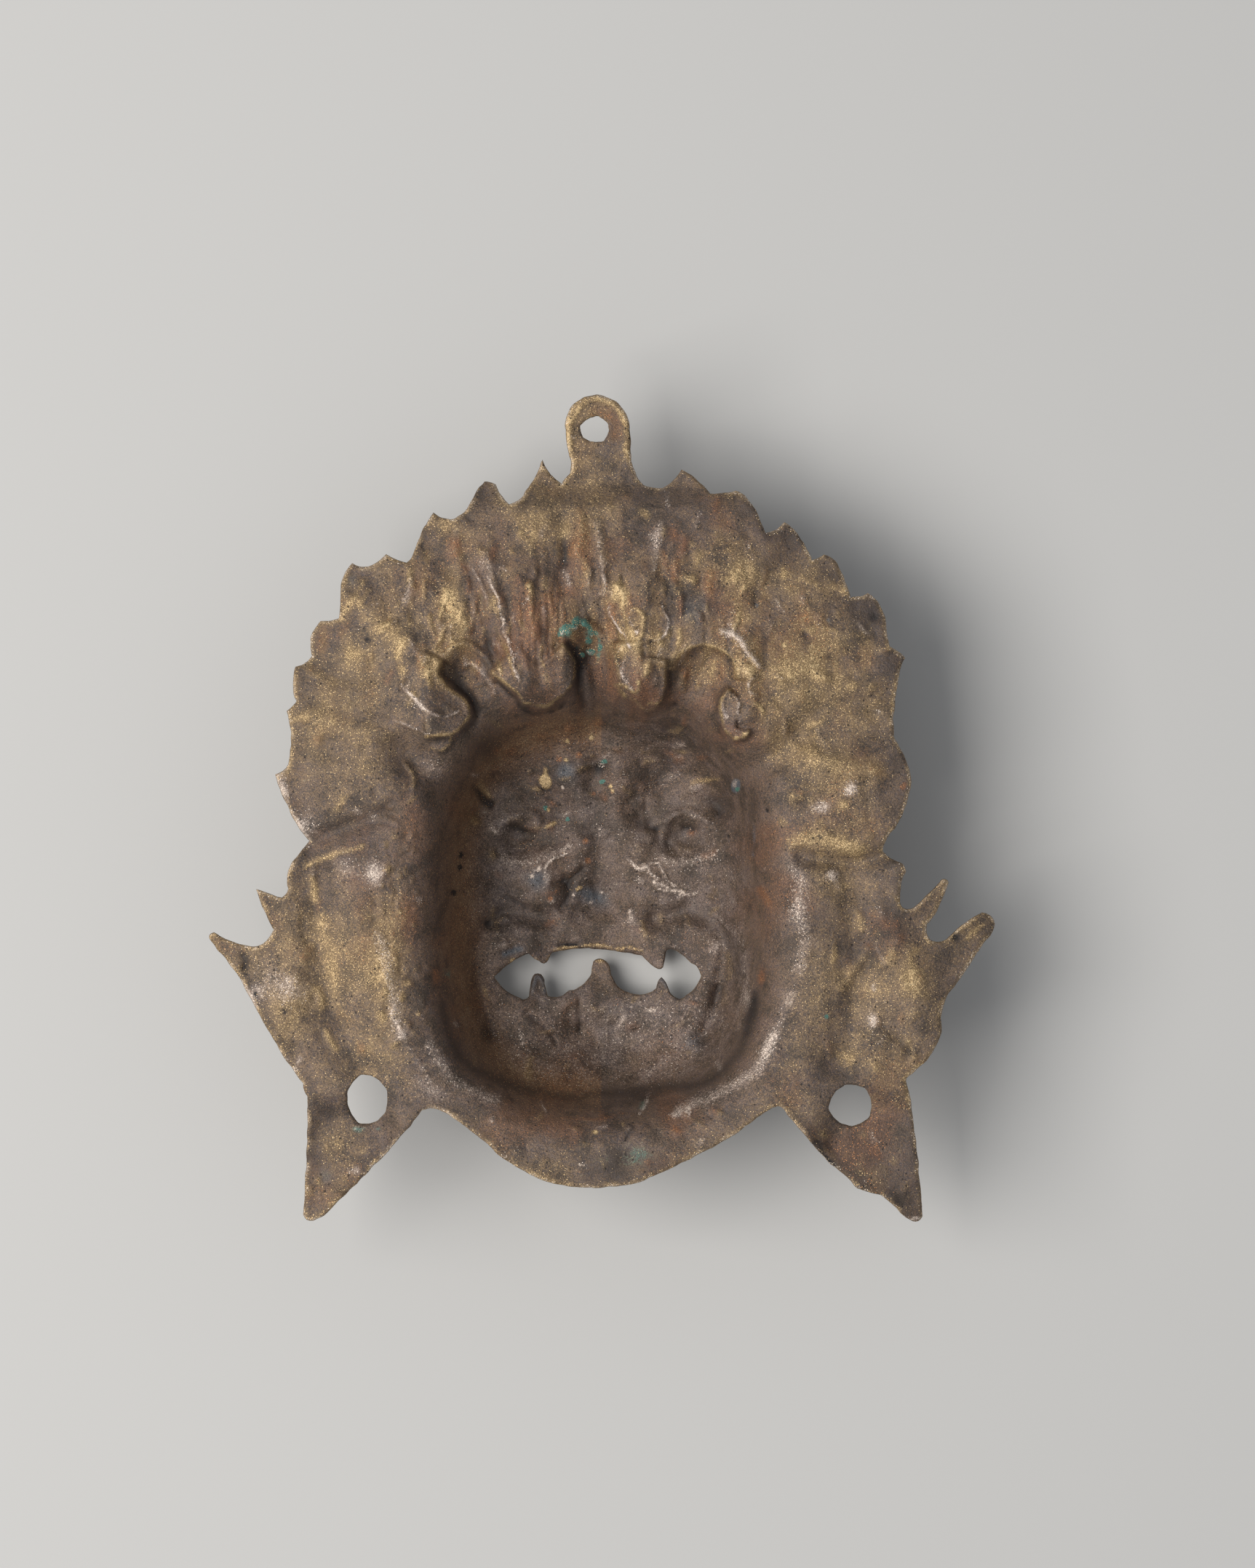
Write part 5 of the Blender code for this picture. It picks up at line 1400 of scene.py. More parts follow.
# Half of the guardian's face, as relief out of the face side
FACE_HALF = (
    Patch(15.8, -6.2, 5.4, 4.4, 6, 2.6, GOLD, 0.2, 1.8),
    ridge(0.7, 0.9, GOLD, 0.5, (9.2, -7.6), (12, -3.2), (16.4, -1.6), (21, -3.6), (23, -6.6)),
    ridge(0.7, 0.8, GOLD, 0.4, (9.2, -7.8), (12.4, -10.6), (16.4, -11.4), (20.6, -9.6), (23, -6.8)),
    spot(15.6, -6.4, 2, 0.9, DARK, 0.4, 2.4),
    spot(15.6, -6.4, 0.8, -0.9, DARK, 0.9, 2),
    ridge(2.4, 2.4, GOLD, 0.3, (6.4, -0.4), (9.6, 2.6), (14.6, 4.2), (20.6, 3.2), (25.6, -1.4)),
    ridge(0.5, -0.8, DARK, 0.5, (3.6, 3.6), (4.4, -0.6), (5.2, -4.6)),
    ridge(0.5, -0.7, DARK, 0.5, (2.2, -1.2), (3, -5), (3.6, -9)),
    Patch(6.6, -18.4, 3.4, 3, 0, 1.9, GOLD, 0.2, 1.6),
    Patch(4.4, -20.8, 1.3, 0.9, 20, -1.6, DARK, 0.9, 1.6),
    ridge(0.6, -0.9, DARK, 0.5, (9.8, -13.6), (11, -18.6), (10.6, -22.2)),
    Patch(20.6, -15.4, 5.2, 4.6, -30, 2, GOLD, 0.2, 1.3),
    ridge(1.5, 1.6, GOLD, 0.3, (2.4, -23.2), (8, -24.6), (14.6, -22.8), (20.8, -21.4), (26, -24),
        (27.4, -28.6), (25.4, -31.6), (23.6, -30)),
    ridge(0.35, -0.6, DARK, 0.4, (3, -23.6), (8, -25), (14.6, -23.4), (20.8, -22), (25.2, -24.4)),
    *alike(ridge(1.2, 1.2, GOLD, 0.3, (0, -26.2), (6, -26.6), (12, -25.8), (18, -27.6), (22.4, -32.4)),
        ((26, -37), (30, -42), (31, -48), (28.4, -51))),
    ridge(1.4, 1.4, GOLD, 0.3, (0, -38.4), (6, -38.8), (12, -39.4), (17, -38.8), (22.4, -33.8)),
    ridge(0.8, 1.3, GOLD, 0.5, (11.3, -27.6), (11.4, -29.6), (11.3, -31)),
    ridge(0.8, 1.2, GOLD, 0.5, (12, -37.6), (11.9, -35.8), (11.9, -33.8)),
    *alike(ridge(1.3, 1.4, GOLD, 0.3, (6, -43), (9.6, -47.4), (8, -51.6), (4.6, -51), (4.8, -48.6)),
        ((12, -43.4), (16.8, -48.6), (15.8, -54), (12, -54.4), (11.6, -51.6)), ((19, -41), (24, -46.2),
        (24.2, -52.4), (20.6, -54.2), (19.2, -51.4))),
    ridge(1.4, 1.5, GOLD, 0.4, (57, -12), (60.6, -20), (65.4, -27), (62.4, -38), (56, -48.6),
        (52.4, -52.6)),
    ridge(1.3, 1.2, GOLD, 0.3, (44, -12), (50.4, -14.6), (54.6, -22), (54, -32), (50, -41)),
    ridge(0.9, -0.9, DARK, 0.5, (41.4, -16), (47.6, -19), (50.6, -26), (49.4, -34)),
    Patch(43.6, -33, 3, 5, 10, 1.3, GOLD, 0.2, 1.4),
    ridge(0.9, 1, GOLD, 0.5, (52.6, -57.2), (51.4, -61.2), (46.6, -62.2), (42.2, -59.4), (42, -54.6),
        (45.6, -51), (50.4, -51.8), (52.6, -57.2)),
    ridge(0.9, 1, GOLD, 0.4, (44, -65), (50, -67), (54.6, -72), (57.6, -76)),
    ridge(1, 1.1, GOLD, 0.4, (28, 8), (31.6, 0), (34, -12), (34.6, -26), (33.6, -40), (31, -50)),
)
FACE_MIDDLE = (
    Patch(-0.4, -17.6, 5.4, 4.8, 0, 2.2, GOLD, 0.2, 1.3),
    ridge(2.2, 1.2, GOLD, 0.2, (-0.4, 0.6), (-0.4, -8), (-0.4, -15)),
    *alike(ridge(0.4, -0.5, DARK, 0.5, (-3.8, -2.2), (-0.4, -3.4), (3, -2.2)), ((-3.6, -5), (-0.4, -6.2),
        (2.8, -5)), ((-3.8, -8), (-0.4, -9.2), (3, -8))),
    Patch(-0.6, 6.4, 2.9, 4.6, 0, 2, GOLD, 0.3, 1.8),
    *alike(ridge(0.5, 0.8, GOLD, 0.5, (-0.6, 11.4), (-3.3, 8.6), (-3.3, 4.2), (-0.6, 1.2)), ((-0.6, 11.4),
        (2.1, 8.6), (2.1, 4.2), (-0.6, 1.2))),
    Patch(-0.6, 6.4, 0.9, 1.7, 0, -0.8, DARK, 0.8, 2),
    ridge(0.8, 1.2, GOLD, 0.5, (-0.3, -36.6), (-0.3, -33.2), (-0.3, -30.8)),
    ridge(1.4, 1.4, GOLD, 0.3, (0, -41.4), (1.6, -46.6), (0, -52.6), (-2.4, -55.6)),
)


@dataclass(frozen=True)
class FaceSkin:
    """The face side, in keeping with the hollow behind it: brows, three eyes, fangs, skulls and flames."""

    step: float = 0.84
    plain_share: float = 1.15
    wall: float = 2.2
    edge_wall: float = 1.4
    edge_taper: float = 6.0
    flame_count: int = 19
    flame_rise: float = 1.3
    flame_centre: Point = (0.0, -4.0)
    flame_start: float = 42.0
    flame_blend: float = 8.0
    flame_twist: float = 0.12
    band_rise: float = 1.5
    rest_softness: float = 0.35
    pores: float = 0.07

    def crown(self) -> tuple[Form, ...]:
        """The five skulls and the beaded band that they stand on.

        Returns:
            The forms, with rises out of the face.
        """
        skulls = (
            Skull(-0.4, 31.0, 6.8),
            Skull(-21.8, 27.6, 6.4),
            Skull(20.6, 27.6, 6.4),
            Skull(-37.6, 13.4, 6.0),
            Skull(37.0, 14.0, 6.0),
        )
        parts: list[Form] = []
        for skull in skulls:
            parts += skull.forms()
        left = ((-42, 2), (-31, 11.5), (-20, 17), (-8, 19.6))
        curve = left + ((0, 20.2),) + tuple((-x, y) for x, y in left[::-1])
        parts.append(Stroke(1.4, self.band_rise, GOLD, 0.4, curve, bead=3.6))
        return tuple(parts)

    def tufts(self) -> tuple[Form, ...]:
        """Short flames that stand up from the brows.

        Returns:
            The forms, with rises out of the face.
        """
        parts: list[Form] = []
        for number in range(6):
            x = 7.4 + 3.4 * number
            y = 3.2 + 1.6 * math.sin(number * 0.55)
            lean = 0.6 + 0.35 * number
            points = ((x, y - 1.2), (x + 0.4 * lean, y + 2.0), (x + 0.2 * lean, y + 4.4), (x + lean, y + 6.6))
            parts.append(ridge(0.9, 1.3, GOLD, 0.4, *points))
        return both_sides(tuple(parts))

    def work(self, field: HeightField, x: Grid, y: Grid, edge_away: Grid) -> Sheet:
        """Works the whole face side.

        Args:
            field: Heights of the broad form.
            x: Places across.
            y: Places up.
            edge_away: Distance of each place from the outline.

        Returns:
            The sheet, with the face side's heights and tones.
        """
        thickness = self.edge_wall + (self.wall - self.edge_wall) * smooth_step(edge_away / self.edge_taper)
        lowest = field.at(x, y) - thickness
        for share in (0.5, 0.85, 1.0):
            drop = thickness * math.sqrt(1 - share * share)
            for turn in np.arange(12) * math.pi / 6:
                nearby_x = x + thickness * share * math.cos(turn)
                nearby_y = y + thickness * share * math.sin(turn)
                lowest = np.minimum(lowest, field.at(nearby_x, nearby_y) - drop)
        sheet = Sheet.start(x, y)
        sheet.press(both_sides(FACE_HALF) + FACE_MIDDLE + self.crown() + self.tufts())
        relief = sheet.height + self.flames(x, y)
        relief += self.pores * layered_noise(x, y, 1.8, 3, 61)
        relief += 0.25 * np.exp(-((edge_away - 0.6) / 0.9) ** 2)
        sheet.height = lowest - relief * smooth_step(edge_away / 3.0 + 0.15)
        cloud = layered_noise(x, y, 11.0, 3, 65)
        sheet.stain(GOLD, 0.34 + 0.14 * cloud)
        sheet.stain(RUST, 0.18 - 0.10 * cloud)
        sheet.stain(DARK, 0.35 * smooth_step(-relief / 0.8 + 0.1) + 0.10)
        sheet.stain(GOLD, 0.35 * smooth_step((relief - 1.0) / 1.6))
        sheet.stain(GOLD, 0.5 * np.exp(-((edge_away / 0.45) ** 2)))
        sheet.stain(PALE, np.full(x.shape, 0.05))
        return sheet

    def flames(self, x: Grid, y: Grid) -> Grid:
        """Relief of the flame locks that fan out to the edge.

        Args:
            x: Places across.
            y: Places up.

        Returns:
            The relief out of the face.
        """
        dx = x - self.flame_centre[0]
        dy = y - self.flame_centre[1]
        angle = np.arctan2(dx, dy)
        radius = np.hypot(dx, dy)
        crown = smooth_step((radius - self.flame_start) / self.flame_blend)
        crown *= smooth_step((y + 4) / 12) * smooth_step((70 - y) / 8)
        sway = self.flame_twist * (radius - self.flame_start) + 0.5 * np.sin(radius * 0.45)
        phase = angle * self.flame_count * 2 + sway
        lock = (0.5 + 0.5 * np.cos(phase)) ** 0.7
        strands = 0.5 + 0.5 * np.cos(4 * phase + 0.25 * radius)
        return self.flame_rise * crown * (0.85 * lock + 0.18 * strands * lock)


class NodeBoard:
    """A small helper that lays out shader nodes for one material."""

    def __init__(self, material: bpy.types.Material) -> None:
        """Starts an empty board.

        Args:
            material: The material whose nodes are laid out.
        """
        material.use_nodes = True
        self.tree = material.node_tree
        self.tree.nodes.clear()
        coordinates = self.tree.nodes.new("ShaderNodeTexCoord")
        self.position = coordinates.outputs["Object"]

    def link(self, source: Source, target: Socket) -> None:
        """Joins an output to an input, or sets the input's plain value.

        Args:
            source: An output or a plain value.
            target: The input.
        """
        if isinstance(source, Socket):
            self.tree.links.new(source, target)
        else:
            target.default_value = source

    def noise(self, size_mm: float, detail: float, roughness: float) -> Socket:
        """Noise whose swells are a given size.

        Args:
            size_mm: Size of the swells in millimetres.
            detail: How many finer layers it has.
            roughness: How strong they are.

        Returns:
            The noise value, near 0.5.
        """
        node = self.tree.nodes.new("ShaderNodeTexNoise")
        node.inputs["Scale"].default_value = 1 / (size_mm * MM)
        node.inputs["Detail"].default_value = detail
        node.inputs["Roughness"].default_value = roughness
        self.link(self.position, node.inputs["Vector"])
        return node.outputs["Fac"]

    def cells(self, size_mm: float) -> tuple[Socket, list[Socket]]:
        """Scattered cells of a given size.

        Args:
            size_mm: Size of a cell in millimetres.

        Returns:
            The distance from each cell's middle and three chance values for each cell.
        """
        node = self.tree.nodes.new("ShaderNodeTexVoronoi")
        node.inputs["Scale"].default_value = 1 / (size_mm * MM)
        self.link(self.position, node.inputs["Vector"])
        split = self.tree.nodes.new("ShaderNodeSeparateColor")
        self.link(node.outputs["Color"], split.inputs["Color"])
        return node.outputs["Distance"], [split.outputs[name] for name in ("Red", "Green", "Blue")]

    def amount(self, tone: Tone) -> Socket:
        """How much of a tone the mesh carries.

        Args:
            tone: The tone.

        Returns:
            The amount.
        """
        node = self.tree.nodes.new("ShaderNodeAttribute")
        node.attribute_name = "tone_" + tone.value
        return node.outputs["Fac"]

    def maths(self, operation: str, first: Source, second: Source) -> Socket:
        """Result of one sum on two values.

        Args:
            operation: The sum's kind.
            first: First value.
            second: Second value.

        Returns:
            The result.
        """
        node = self.tree.nodes.new("ShaderNodeMath")
        node.operation = operation
        self.link(first, node.inputs[0])
        self.link(second, node.inputs[1])
        return node.outputs[0]

    def plus(self, first: Source, second: Source) -> Socket:
        """Sum of two values."""
        return self.maths("ADD", first, second)

    def minus(self, first: Source, second: Source) -> Socket:
        """The first value less the second."""
        return self.maths("SUBTRACT", first, second)

    def times(self, first: Source, second: Source) -> Socket:
        """Product of two values."""
        return self.maths("MULTIPLY", first, second)

    def swing(self, noise: Socket, strength: float) -> Socket:
        """How far noise strays from its middle, made stronger or weaker."""
        return self.times(self.minus(noise, 0.5), strength)

    def remap(
        self, value: Socket, low: float, high: float, to_low: float = 0.0, to_high: float = 1.0
    ) -> Socket:
        """Spreads a range of values over another, held at its ends.

        Args:
            value: The value.
            low: Where the range starts.
            high: Where it ends.
            to_low: What the start becomes.
            to_high: What the end becomes.

        Returns:
            The spread value.
        """
        node = self.tree.nodes.new("ShaderNodeMapRange")
        node.interpolation_type = "SMOOTHSTEP"
        node.inputs["From Min"].default_value = low
        node.inputs["From Max"].default_value = high
        node.inputs["To Min"].default_value = to_low
        node.inputs["To Max"].default_value = to_high
        self.link(value, node.inputs["Value"])
        return node.outputs["Result"]

    def scale(self, colour: Socket, factor: Socket) -> Socket:
        """Makes a colour lighter or darker.

        Args:
            colour: The colour.
            factor: What it is multiplied by.

        Returns:
            The new colour.
        """
        node = self.tree.nodes.new("ShaderNodeVectorMath")
        node.operation = "SCALE"
        self.link(colour, node.inputs[0])
        self.link(factor, node.inputs["Scale"])
        return node.outputs[0]

    def blend(self, share: Source, first: Source, second: Source) -> Socket:
        """Mixes two colours.

        Args:
            share: Share of the second colour.
            first: First colour.
            second: Second colour.

        Returns:
            The mixed colour.
        """
        node = self.tree.nodes.new("ShaderNodeMix")
        node.data_type = "RGBA"
        colours = [socket for socket in node.inputs if socket.type == "RGBA"]
        self.link(share, node.inputs[0])
        self.link(first, colours[0])
        self.link(second, colours[1])
        return next(socket for socket in node.outputs if socket.type == "RGBA")


@dataclass(frozen=True)
class AgedCopperAlloy:
    """Old cast copper alloy: brown patina with golden grains, pale worn specks, dark pits and green salts.
    Its pale and dark layers also carry painted highlights and painted shade.
    """

    name: str = "aged_copper_alloy"
    umber: Colour = (0.056, 0.040, 0.030, 1.0)
    drab: Colour = (0.146, 0.098, 0.066, 1.0)
    plum: Colour = (0.108, 0.088, 0.092, 1.0)
    russet: Colour = (0.175, 0.082, 0.044, 1.0)
    slate: Colour = (0.090, 0.098, 0.112, 1.0)
    old_gold: Colour = (0.258, 0.172, 0.084, 1.0)
    worn_gold: Colour = (0.580, 0.420, 0.225, 1.0)
    worn_pale_and_painted_highlight: Colour = (0.640, 0.520, 0.430, 1.0)
    bone: Colour = (0.440, 0.350, 0.295, 1.0)
    soot_and_painted_shade: Colour = (0.016, 0.012, 0.011, 1.0)
    verdigris: Colour = (0.070, 0.165, 0.135, 1.0)
    gold_grain: Colour = (0.800, 0.570, 0.300, 1.0)
    pale_grain: Colour = (0.860, 0.730, 0.620, 1.0)
    rust_grain: Colour = (0.520, 0.230, 0.090, 1.0)
    dull_metallic: float = 0.25
    bright_metallic: float = 0.60
    dull_roughness: float = 0.58
    bright_roughness: float = 0.42
    grain_mm: float = 0.22
    mottle_mm: float = 0.55
    speck_mm: float = 0.25
    pit_mm: float = 0.75
    bump_mm: float = 0.15

    def build(self) -> bpy.types.Material:
        """Makes the finish.

        Returns:
            The material.
        """
        material = bpy.data.materials.new(self.name)
        board = NodeBoard(material)
        grain = board.noise(self.grain_mm, 3.0, 0.7)
        mottle = board.noise(self.mottle_mm, 3.0, 0.6)
        patchy = board.noise(4.2, 4.0, 0.6)
        cloud = board.noise(9.0, 3.0, 0.55)
        away, chances = board.cells(self.speck_mm)
        jitter = board.plus(board.swing(mottle, 0.8), board.swing(patchy, 0.9))
        jitter = board.plus(jitter, board.swing(grain, 0.8))

        colour = board.blend(board.remap(board.plus(cloud, jitter), 0.2, 0.8), self.umber, self.drab)
        plum = board.remap(board.minus(patchy, board.times(jitter, 0.4)), 0.4, 0.7)
        colour = board.blend(board.times(plum, 0.65), colour, self.plum)
        colour = board.blend(self.share(board, RUST, jitter, 0.05, 1.00), colour, self.russet)
        colour = board.blend(self.share(board, BLUE, jitter, 0.10, 1.00), colour, self.slate)
        # Gold, which also carries the painted light on the hollow's shaded left wall and the painted
        # highlight on proud places
        gold = self.share(board, GOLD, jitter, 0.00, 1.00)
        colour = board.blend(gold, colour, self.old_gold)
        worn = self.share(board, GOLD, board.plus(jitter, board.swing(mottle, 1.8)), 0.75, 1.60)
        colour = board.blend(worn, colour, self.worn_gold)
        pale = board.times(self.share(board, PALE, jitter, 0.15, 1.30), 0.8)
        colour = board.blend(pale, colour, self.bone)
        # Pale flecks and worn places, and painted highlights on lit crests
        pale_flecks_and_highlights = self.share(board, PALE, board.plus(jitter, board.swing(mottle, 2.6)), 0.75, 1.55)
        colour = board.blend(pale_flecks_and_highlights, colour, self.worn_pale_and_painted_highlight)
        # Dark stains and pits, and painted shade in crevices, under drip lips and on walls facing away from
        # the light
        dark = self.share(board, DARK, jitter, 0.10, 1.45)
        colour = board.blend(dark, colour, self.soot_and_painted_shade)
        colour = board.blend(self.share(board, GREEN, jitter, 0.20, 0.90), colour, self.verdigris)
        colour = board.scale(colour, board.remap(grain, 0.30, 0.70, 0.55, 1.42))

        dot = board.remap(away, 0.46, 0.24)
        rust_specks = self.specks(board, board.amount(RUST), chances[2], dot, 0.35, 0.02)
        colour = board.blend(rust_specks, colour, self.rust_grain)
        gold_specks = self.specks(board, board.amount(GOLD), chances[0], dot, 0.85, 0.03)
        colour = board.blend(gold_specks, colour, self.gold_grain)
        pale_specks = self.specks(board, board.amount(PALE), chances[1], dot, 0.90, 0.01)
        colour = board.blend(pale_specks, colour, self.pale_grain)
        pit_away, pit_chances = board.cells(self.pit_mm)
        pit_dot = board.remap(pit_away, 0.36, 0.16)
        pits = self.specks(board, board.amount(DARK), pit_chances[0], pit_dot, 0.10, 0.10)
        colour = board.blend(board.times(pits, 0.8), colour, self.soot_and_painted_shade)

        specks = board.maths("MAXIMUM", gold_specks, pale_specks)
        bright = board.maths("MAXIMUM", specks, board.times(board.plus(gold, worn), 0.5))
        shader = board.tree.nodes.new("ShaderNodeBsdfPrincipled")
        board.link(colour, shader.inputs["Base Color"])
        metallic = board.remap(bright, 0.0, 1.0, self.dull_metallic, self.bright_metallic)
        board.link(metallic, shader.inputs["Metallic"])
        roughness = board.remap(bright, 0.0, 1.0, self.dull_roughness, self.bright_roughness)
        board.link(roughness, shader.inputs["Roughness"])

        relief = board.plus(board.times(grain, 0.7), board.times(mottle, 1.2))
        relief = board.minus(relief, board.times(pits, 0.5))
        relief = board.plus(relief, board.times(specks, 0.2))
        bump = board.tree.nodes.new("ShaderNodeBump")
        bump.inputs["Strength"].default_value = 1.0
        bump.inputs["Distance"].default_value = self.bump_mm * MM
        board.link(relief, bump.inputs["Height"])
        board.link(bump.outputs["Normal"], shader.inputs["Normal"])
        output = board.tree.nodes.new("ShaderNodeOutputMaterial")
        board.link(shader.outputs["BSDF"], output.inputs["Surface"])
        return material

    def share(self, board: NodeBoard, tone: Tone, jitter: Socket, low: float, high: float) -> Socket:
        """Share of a tone in the skin, from none at the low amount to full at the high one."""
        return board.remap(board.plus(board.amount(tone), jitter), low, high)

    def specks(
        self,
        board: NodeBoard,
        amount: Socket,
        chance: Socket,
        dot: Socket,
        thickness: float,
        least: float,
    ) -> Socket:
        """Separate grains, closer together where the amount is greater.

        Args:
            board: The board the nodes go on.
            amount: Amount of the tone they belong to.
            chance: Chance value of each grain.
            dot: Shape of a grain.
            thickness: Share of the cells that are grains where the amount is 1.
            least: Share of the cells that are grains everywhere.

        Returns:
            The share of grain.
        """
        gathered = board.times(board.maths("MAXIMUM", amount, 0.0), amount)
        density = board.plus(board.times(gathered, thickness), least)
        return board.times(board.remap(board.minus(density, chance), 0.0, 0.06), dot)


@dataclass(frozen=True)
class MapPlace:
    """Where one side lies in the colour map: map units to a millimetre and the place of the plan's middle."""

    scale: float
    middle: Point

    def at(self, places: Grid) -> Grid:
        """Map places of plan places, one row each."""
        return places * self.scale + np.array(self.middle)


@dataclass(frozen=True)
class CastMask:
    """The mask itself: one casting with its hollow back, its face side and the rim between them."""

    name: str = "mask_casting"
    plan: MaskPlan = MaskPlan()
    form: CastForm = CastForm()
    back: BackSkin = BackSkin()
    face: FaceSkin = FaceSkin()
    rim_bulge: float = 0.16
    rim_rings: int = 3
    back_map: MapPlace = MapPlace(0.0037, (0.29, 0.31))
    face_map: MapPlace = MapPlace(0.0027, (0.785, 0.23))
    ring_map_width: float = 0.2
    grid_gap: float = 0.6
    worked_area: tuple[Point, Point] = ((-42.0, -62.0), (36.0, 46.0))

    def lattice(self, outer: Grid, step: float) -> tuple[Grid, Grid]:
        """Staggered rows of points over the whole plan, a little uneven.

        Args:
            outer: The outline.
            step: Spacing of the points.

        Returns:
            Places across and up.
        """
        xs = np.arange(outer[:, 0].min(), outer[:, 0].max(), step)
        ys = np.arange(outer[:, 1].min(), outer[:, 1].max(), step * math.sqrt(0.75))
        x, y = np.meshgrid(xs, ys)
        x = x + (np.arange(len(ys)) % 2)[:, None] * step * 0.5
        x = x.ravel() + 0.12 * step * value_noise(x.ravel(), y.ravel(), step, 81)
        y = y.ravel() + 0.12 * step * value_noise(x.ravel(), y.ravel(), step, 83)
        return x, y

    def is_worked(self, x: Grid, y: Grid) -> Grid:
        """Whether each place is in the finely worked area of the face and the crown."""
        (low_x, low_y), (high_x, high_y) = self.worked_area
        return (x > low_x) & (x < high_x) & (y > low_y) & (y < high_y)

    def fill(self, loops: list[Grid], step: float, plain_share: float) -> tuple[Grid, Grid, Grid]:
        """Fills the metal in plan with even triangles.

        Args:
            loops: The outline and then the openings.
            step: Spacing of the points in the finely worked area.
            plain_share: How much wider it is elsewhere.

        Returns:
            Places across, places up and the triangles, with the loops' points first and in order.
        """
        outer = loops[0]
        fine_x, fine_y = self.lattice(outer, step)
        wide_x, wide_y = self.lattice(outer, step * plain_share)
        fine = self.is_worked(fine_x, fine_y)
        wide = ~self.is_worked(wide_x, wide_y)
        x = np.concatenate([fine_x[fine], wide_x[wide]])
        y = np.concatenate([fine_y[fine], wide_y[wide]])
        keep = inside(x, y, outer)
        for loop in loops[1:]:
            keep &= ~inside(x, y, loop)
        x = x[keep]
        y = y[keep]
        keep = np.ones(x.shape, dtype=bool)
        for loop in loops:
            keep &= distance_to_line(x, y, np.vstack([loop, loop[:1]])) > step * self.grid_gap
        points = [Vector(point) for loop in loops for point in loop.tolist()]
        edges = []
        first = 0
        for loop in loops:
            edges += [(first + i, first + (i + 1) % len(loop)) for i in range(len(loop))]
            first += len(loop)
        points += [Vector(point) for point in zip(x[keep].tolist(), y[keep].tolist())]
        corners, _, faces, origins, _, _ = delaunay_2d_cdt(points, edges, [], 0, 1e-5)
        if len(corners) != len(points) or any(len(found) != 1 for found in origins):
            raise RuntimeError("two plan points fell together")
        order = np.array([found[0] for found in origins])
        plan_x = np.array([point.x for point in points])
        plan_y = np.array([point.y for point in points])
        triangles = order[np.array([list(face) for face in faces])]
        middle_x = plan_x[triangles].mean(axis=1)
        middle_y = plan_y[triangles].mean(axis=1)
        keep = inside(middle_x, middle_y, outer)
        for loop in loops[1:]:
            keep &= ~inside(middle_x, middle_y, loop)
        return plan_x, plan_y, triangles[keep]

    def rim(self, loops: list[Grid], back: Sheet, face: Sheet) -> tuple[Grid, list[Grid]]:
        """Rounded rings between the back's edge and the face side's edge.

        Args:
            loops: The outline and then the openings.
            back: The worked back.
            face: The worked face side.

        Returns:
            The rings' points, ring by ring, and the outward directions of each loop's points.
        """
        rings = []
        outward = []
        first = 0
        for number, loop in enumerate(loops):
            along = np.roll(loop, -1, axis=0) - np.roll(loop, 1, axis=0)
            along /= np.linalg.norm(along, axis=1)[:, None] + 1e-9
            turn = math.copysign(1, signed_area(loop)) * (1 if number == 0 else -1)
            out = np.stack([along[:, 1], -along[:, 0]], axis=1) * turn
            outward.append(out)
            last = first + len(loop)
            top = back.height[first:last]
            bottom = face.height[first:last]
            for ring in range(1, self.rim_rings + 1):
                share = ring / (self.rim_rings + 1)
                bulge = self.rim_bulge * math.sin(math.pi * share) ** 0.6
                place = loop + out * bulge
                rings.append(np.column_stack([place, top + (bottom - top) * share]))
            first = last
        return np.vstack(rings), outward

    def build(self) -> bpy.types.Object:
        """Makes the casting's mesh.

        Returns:
            The object, in metres and in place.
        """
        loops = [self.plan.edge()] + self.plan.openings()
        outer = np.vstack([loops[0], loops[0][:1]])
        sides = []
        for skin in (self.back, self.face):
            x, y, triangles = self.fill(loops, skin.step, skin.plain_share)
            sides.append((x, y, triangles, distance_to_line(x, y, outer)))
        log.info("plan filled: %d and %d triangles", len(sides[0][2]), len(sides[1][2]))
        back = self.back.work(self.form, *sides[0][:2], sides[0][3])
        field = HeightField.sample(self.form.height)
        face = self.face.work(field, *sides[1][:2], sides[1][3])
        low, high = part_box(CAD_NODE)
        top = self.form.height(sides[0][0], sides[0][1]).max()
        drop = high.z / MM - top
        back.height = back.height + drop
        softness = self.face.rest_softness
        face.height = softness * np.logaddexp(0, (face.height + drop) / softness)
        rings, outward = self.rim(loops, back, face)
        shift_x = (low.x + high.x) / 2 / MM - (loops[0][:, 0].min() + loops[0][:, 0].max()) / 2
        shift_y = (low.y + high.y) / 2 / MM - (loops[0][:, 1].min() + loops[0][:, 1].max()) / 2
        back_points = np.column_stack([back.x, back.y, back.height])
        face_points = np.column_stack([face.x, face.y, face.height])
        points = np.vstack([back_points, rings, face_points])
        points[:, 0] += shift_x
        points[:, 1] += shift_y
        faces, corners_uv = self.faces(loops, outward, sides, len(back_points), len(rings))
        return self.dress(points, faces, corners_uv, back, face, len(rings))

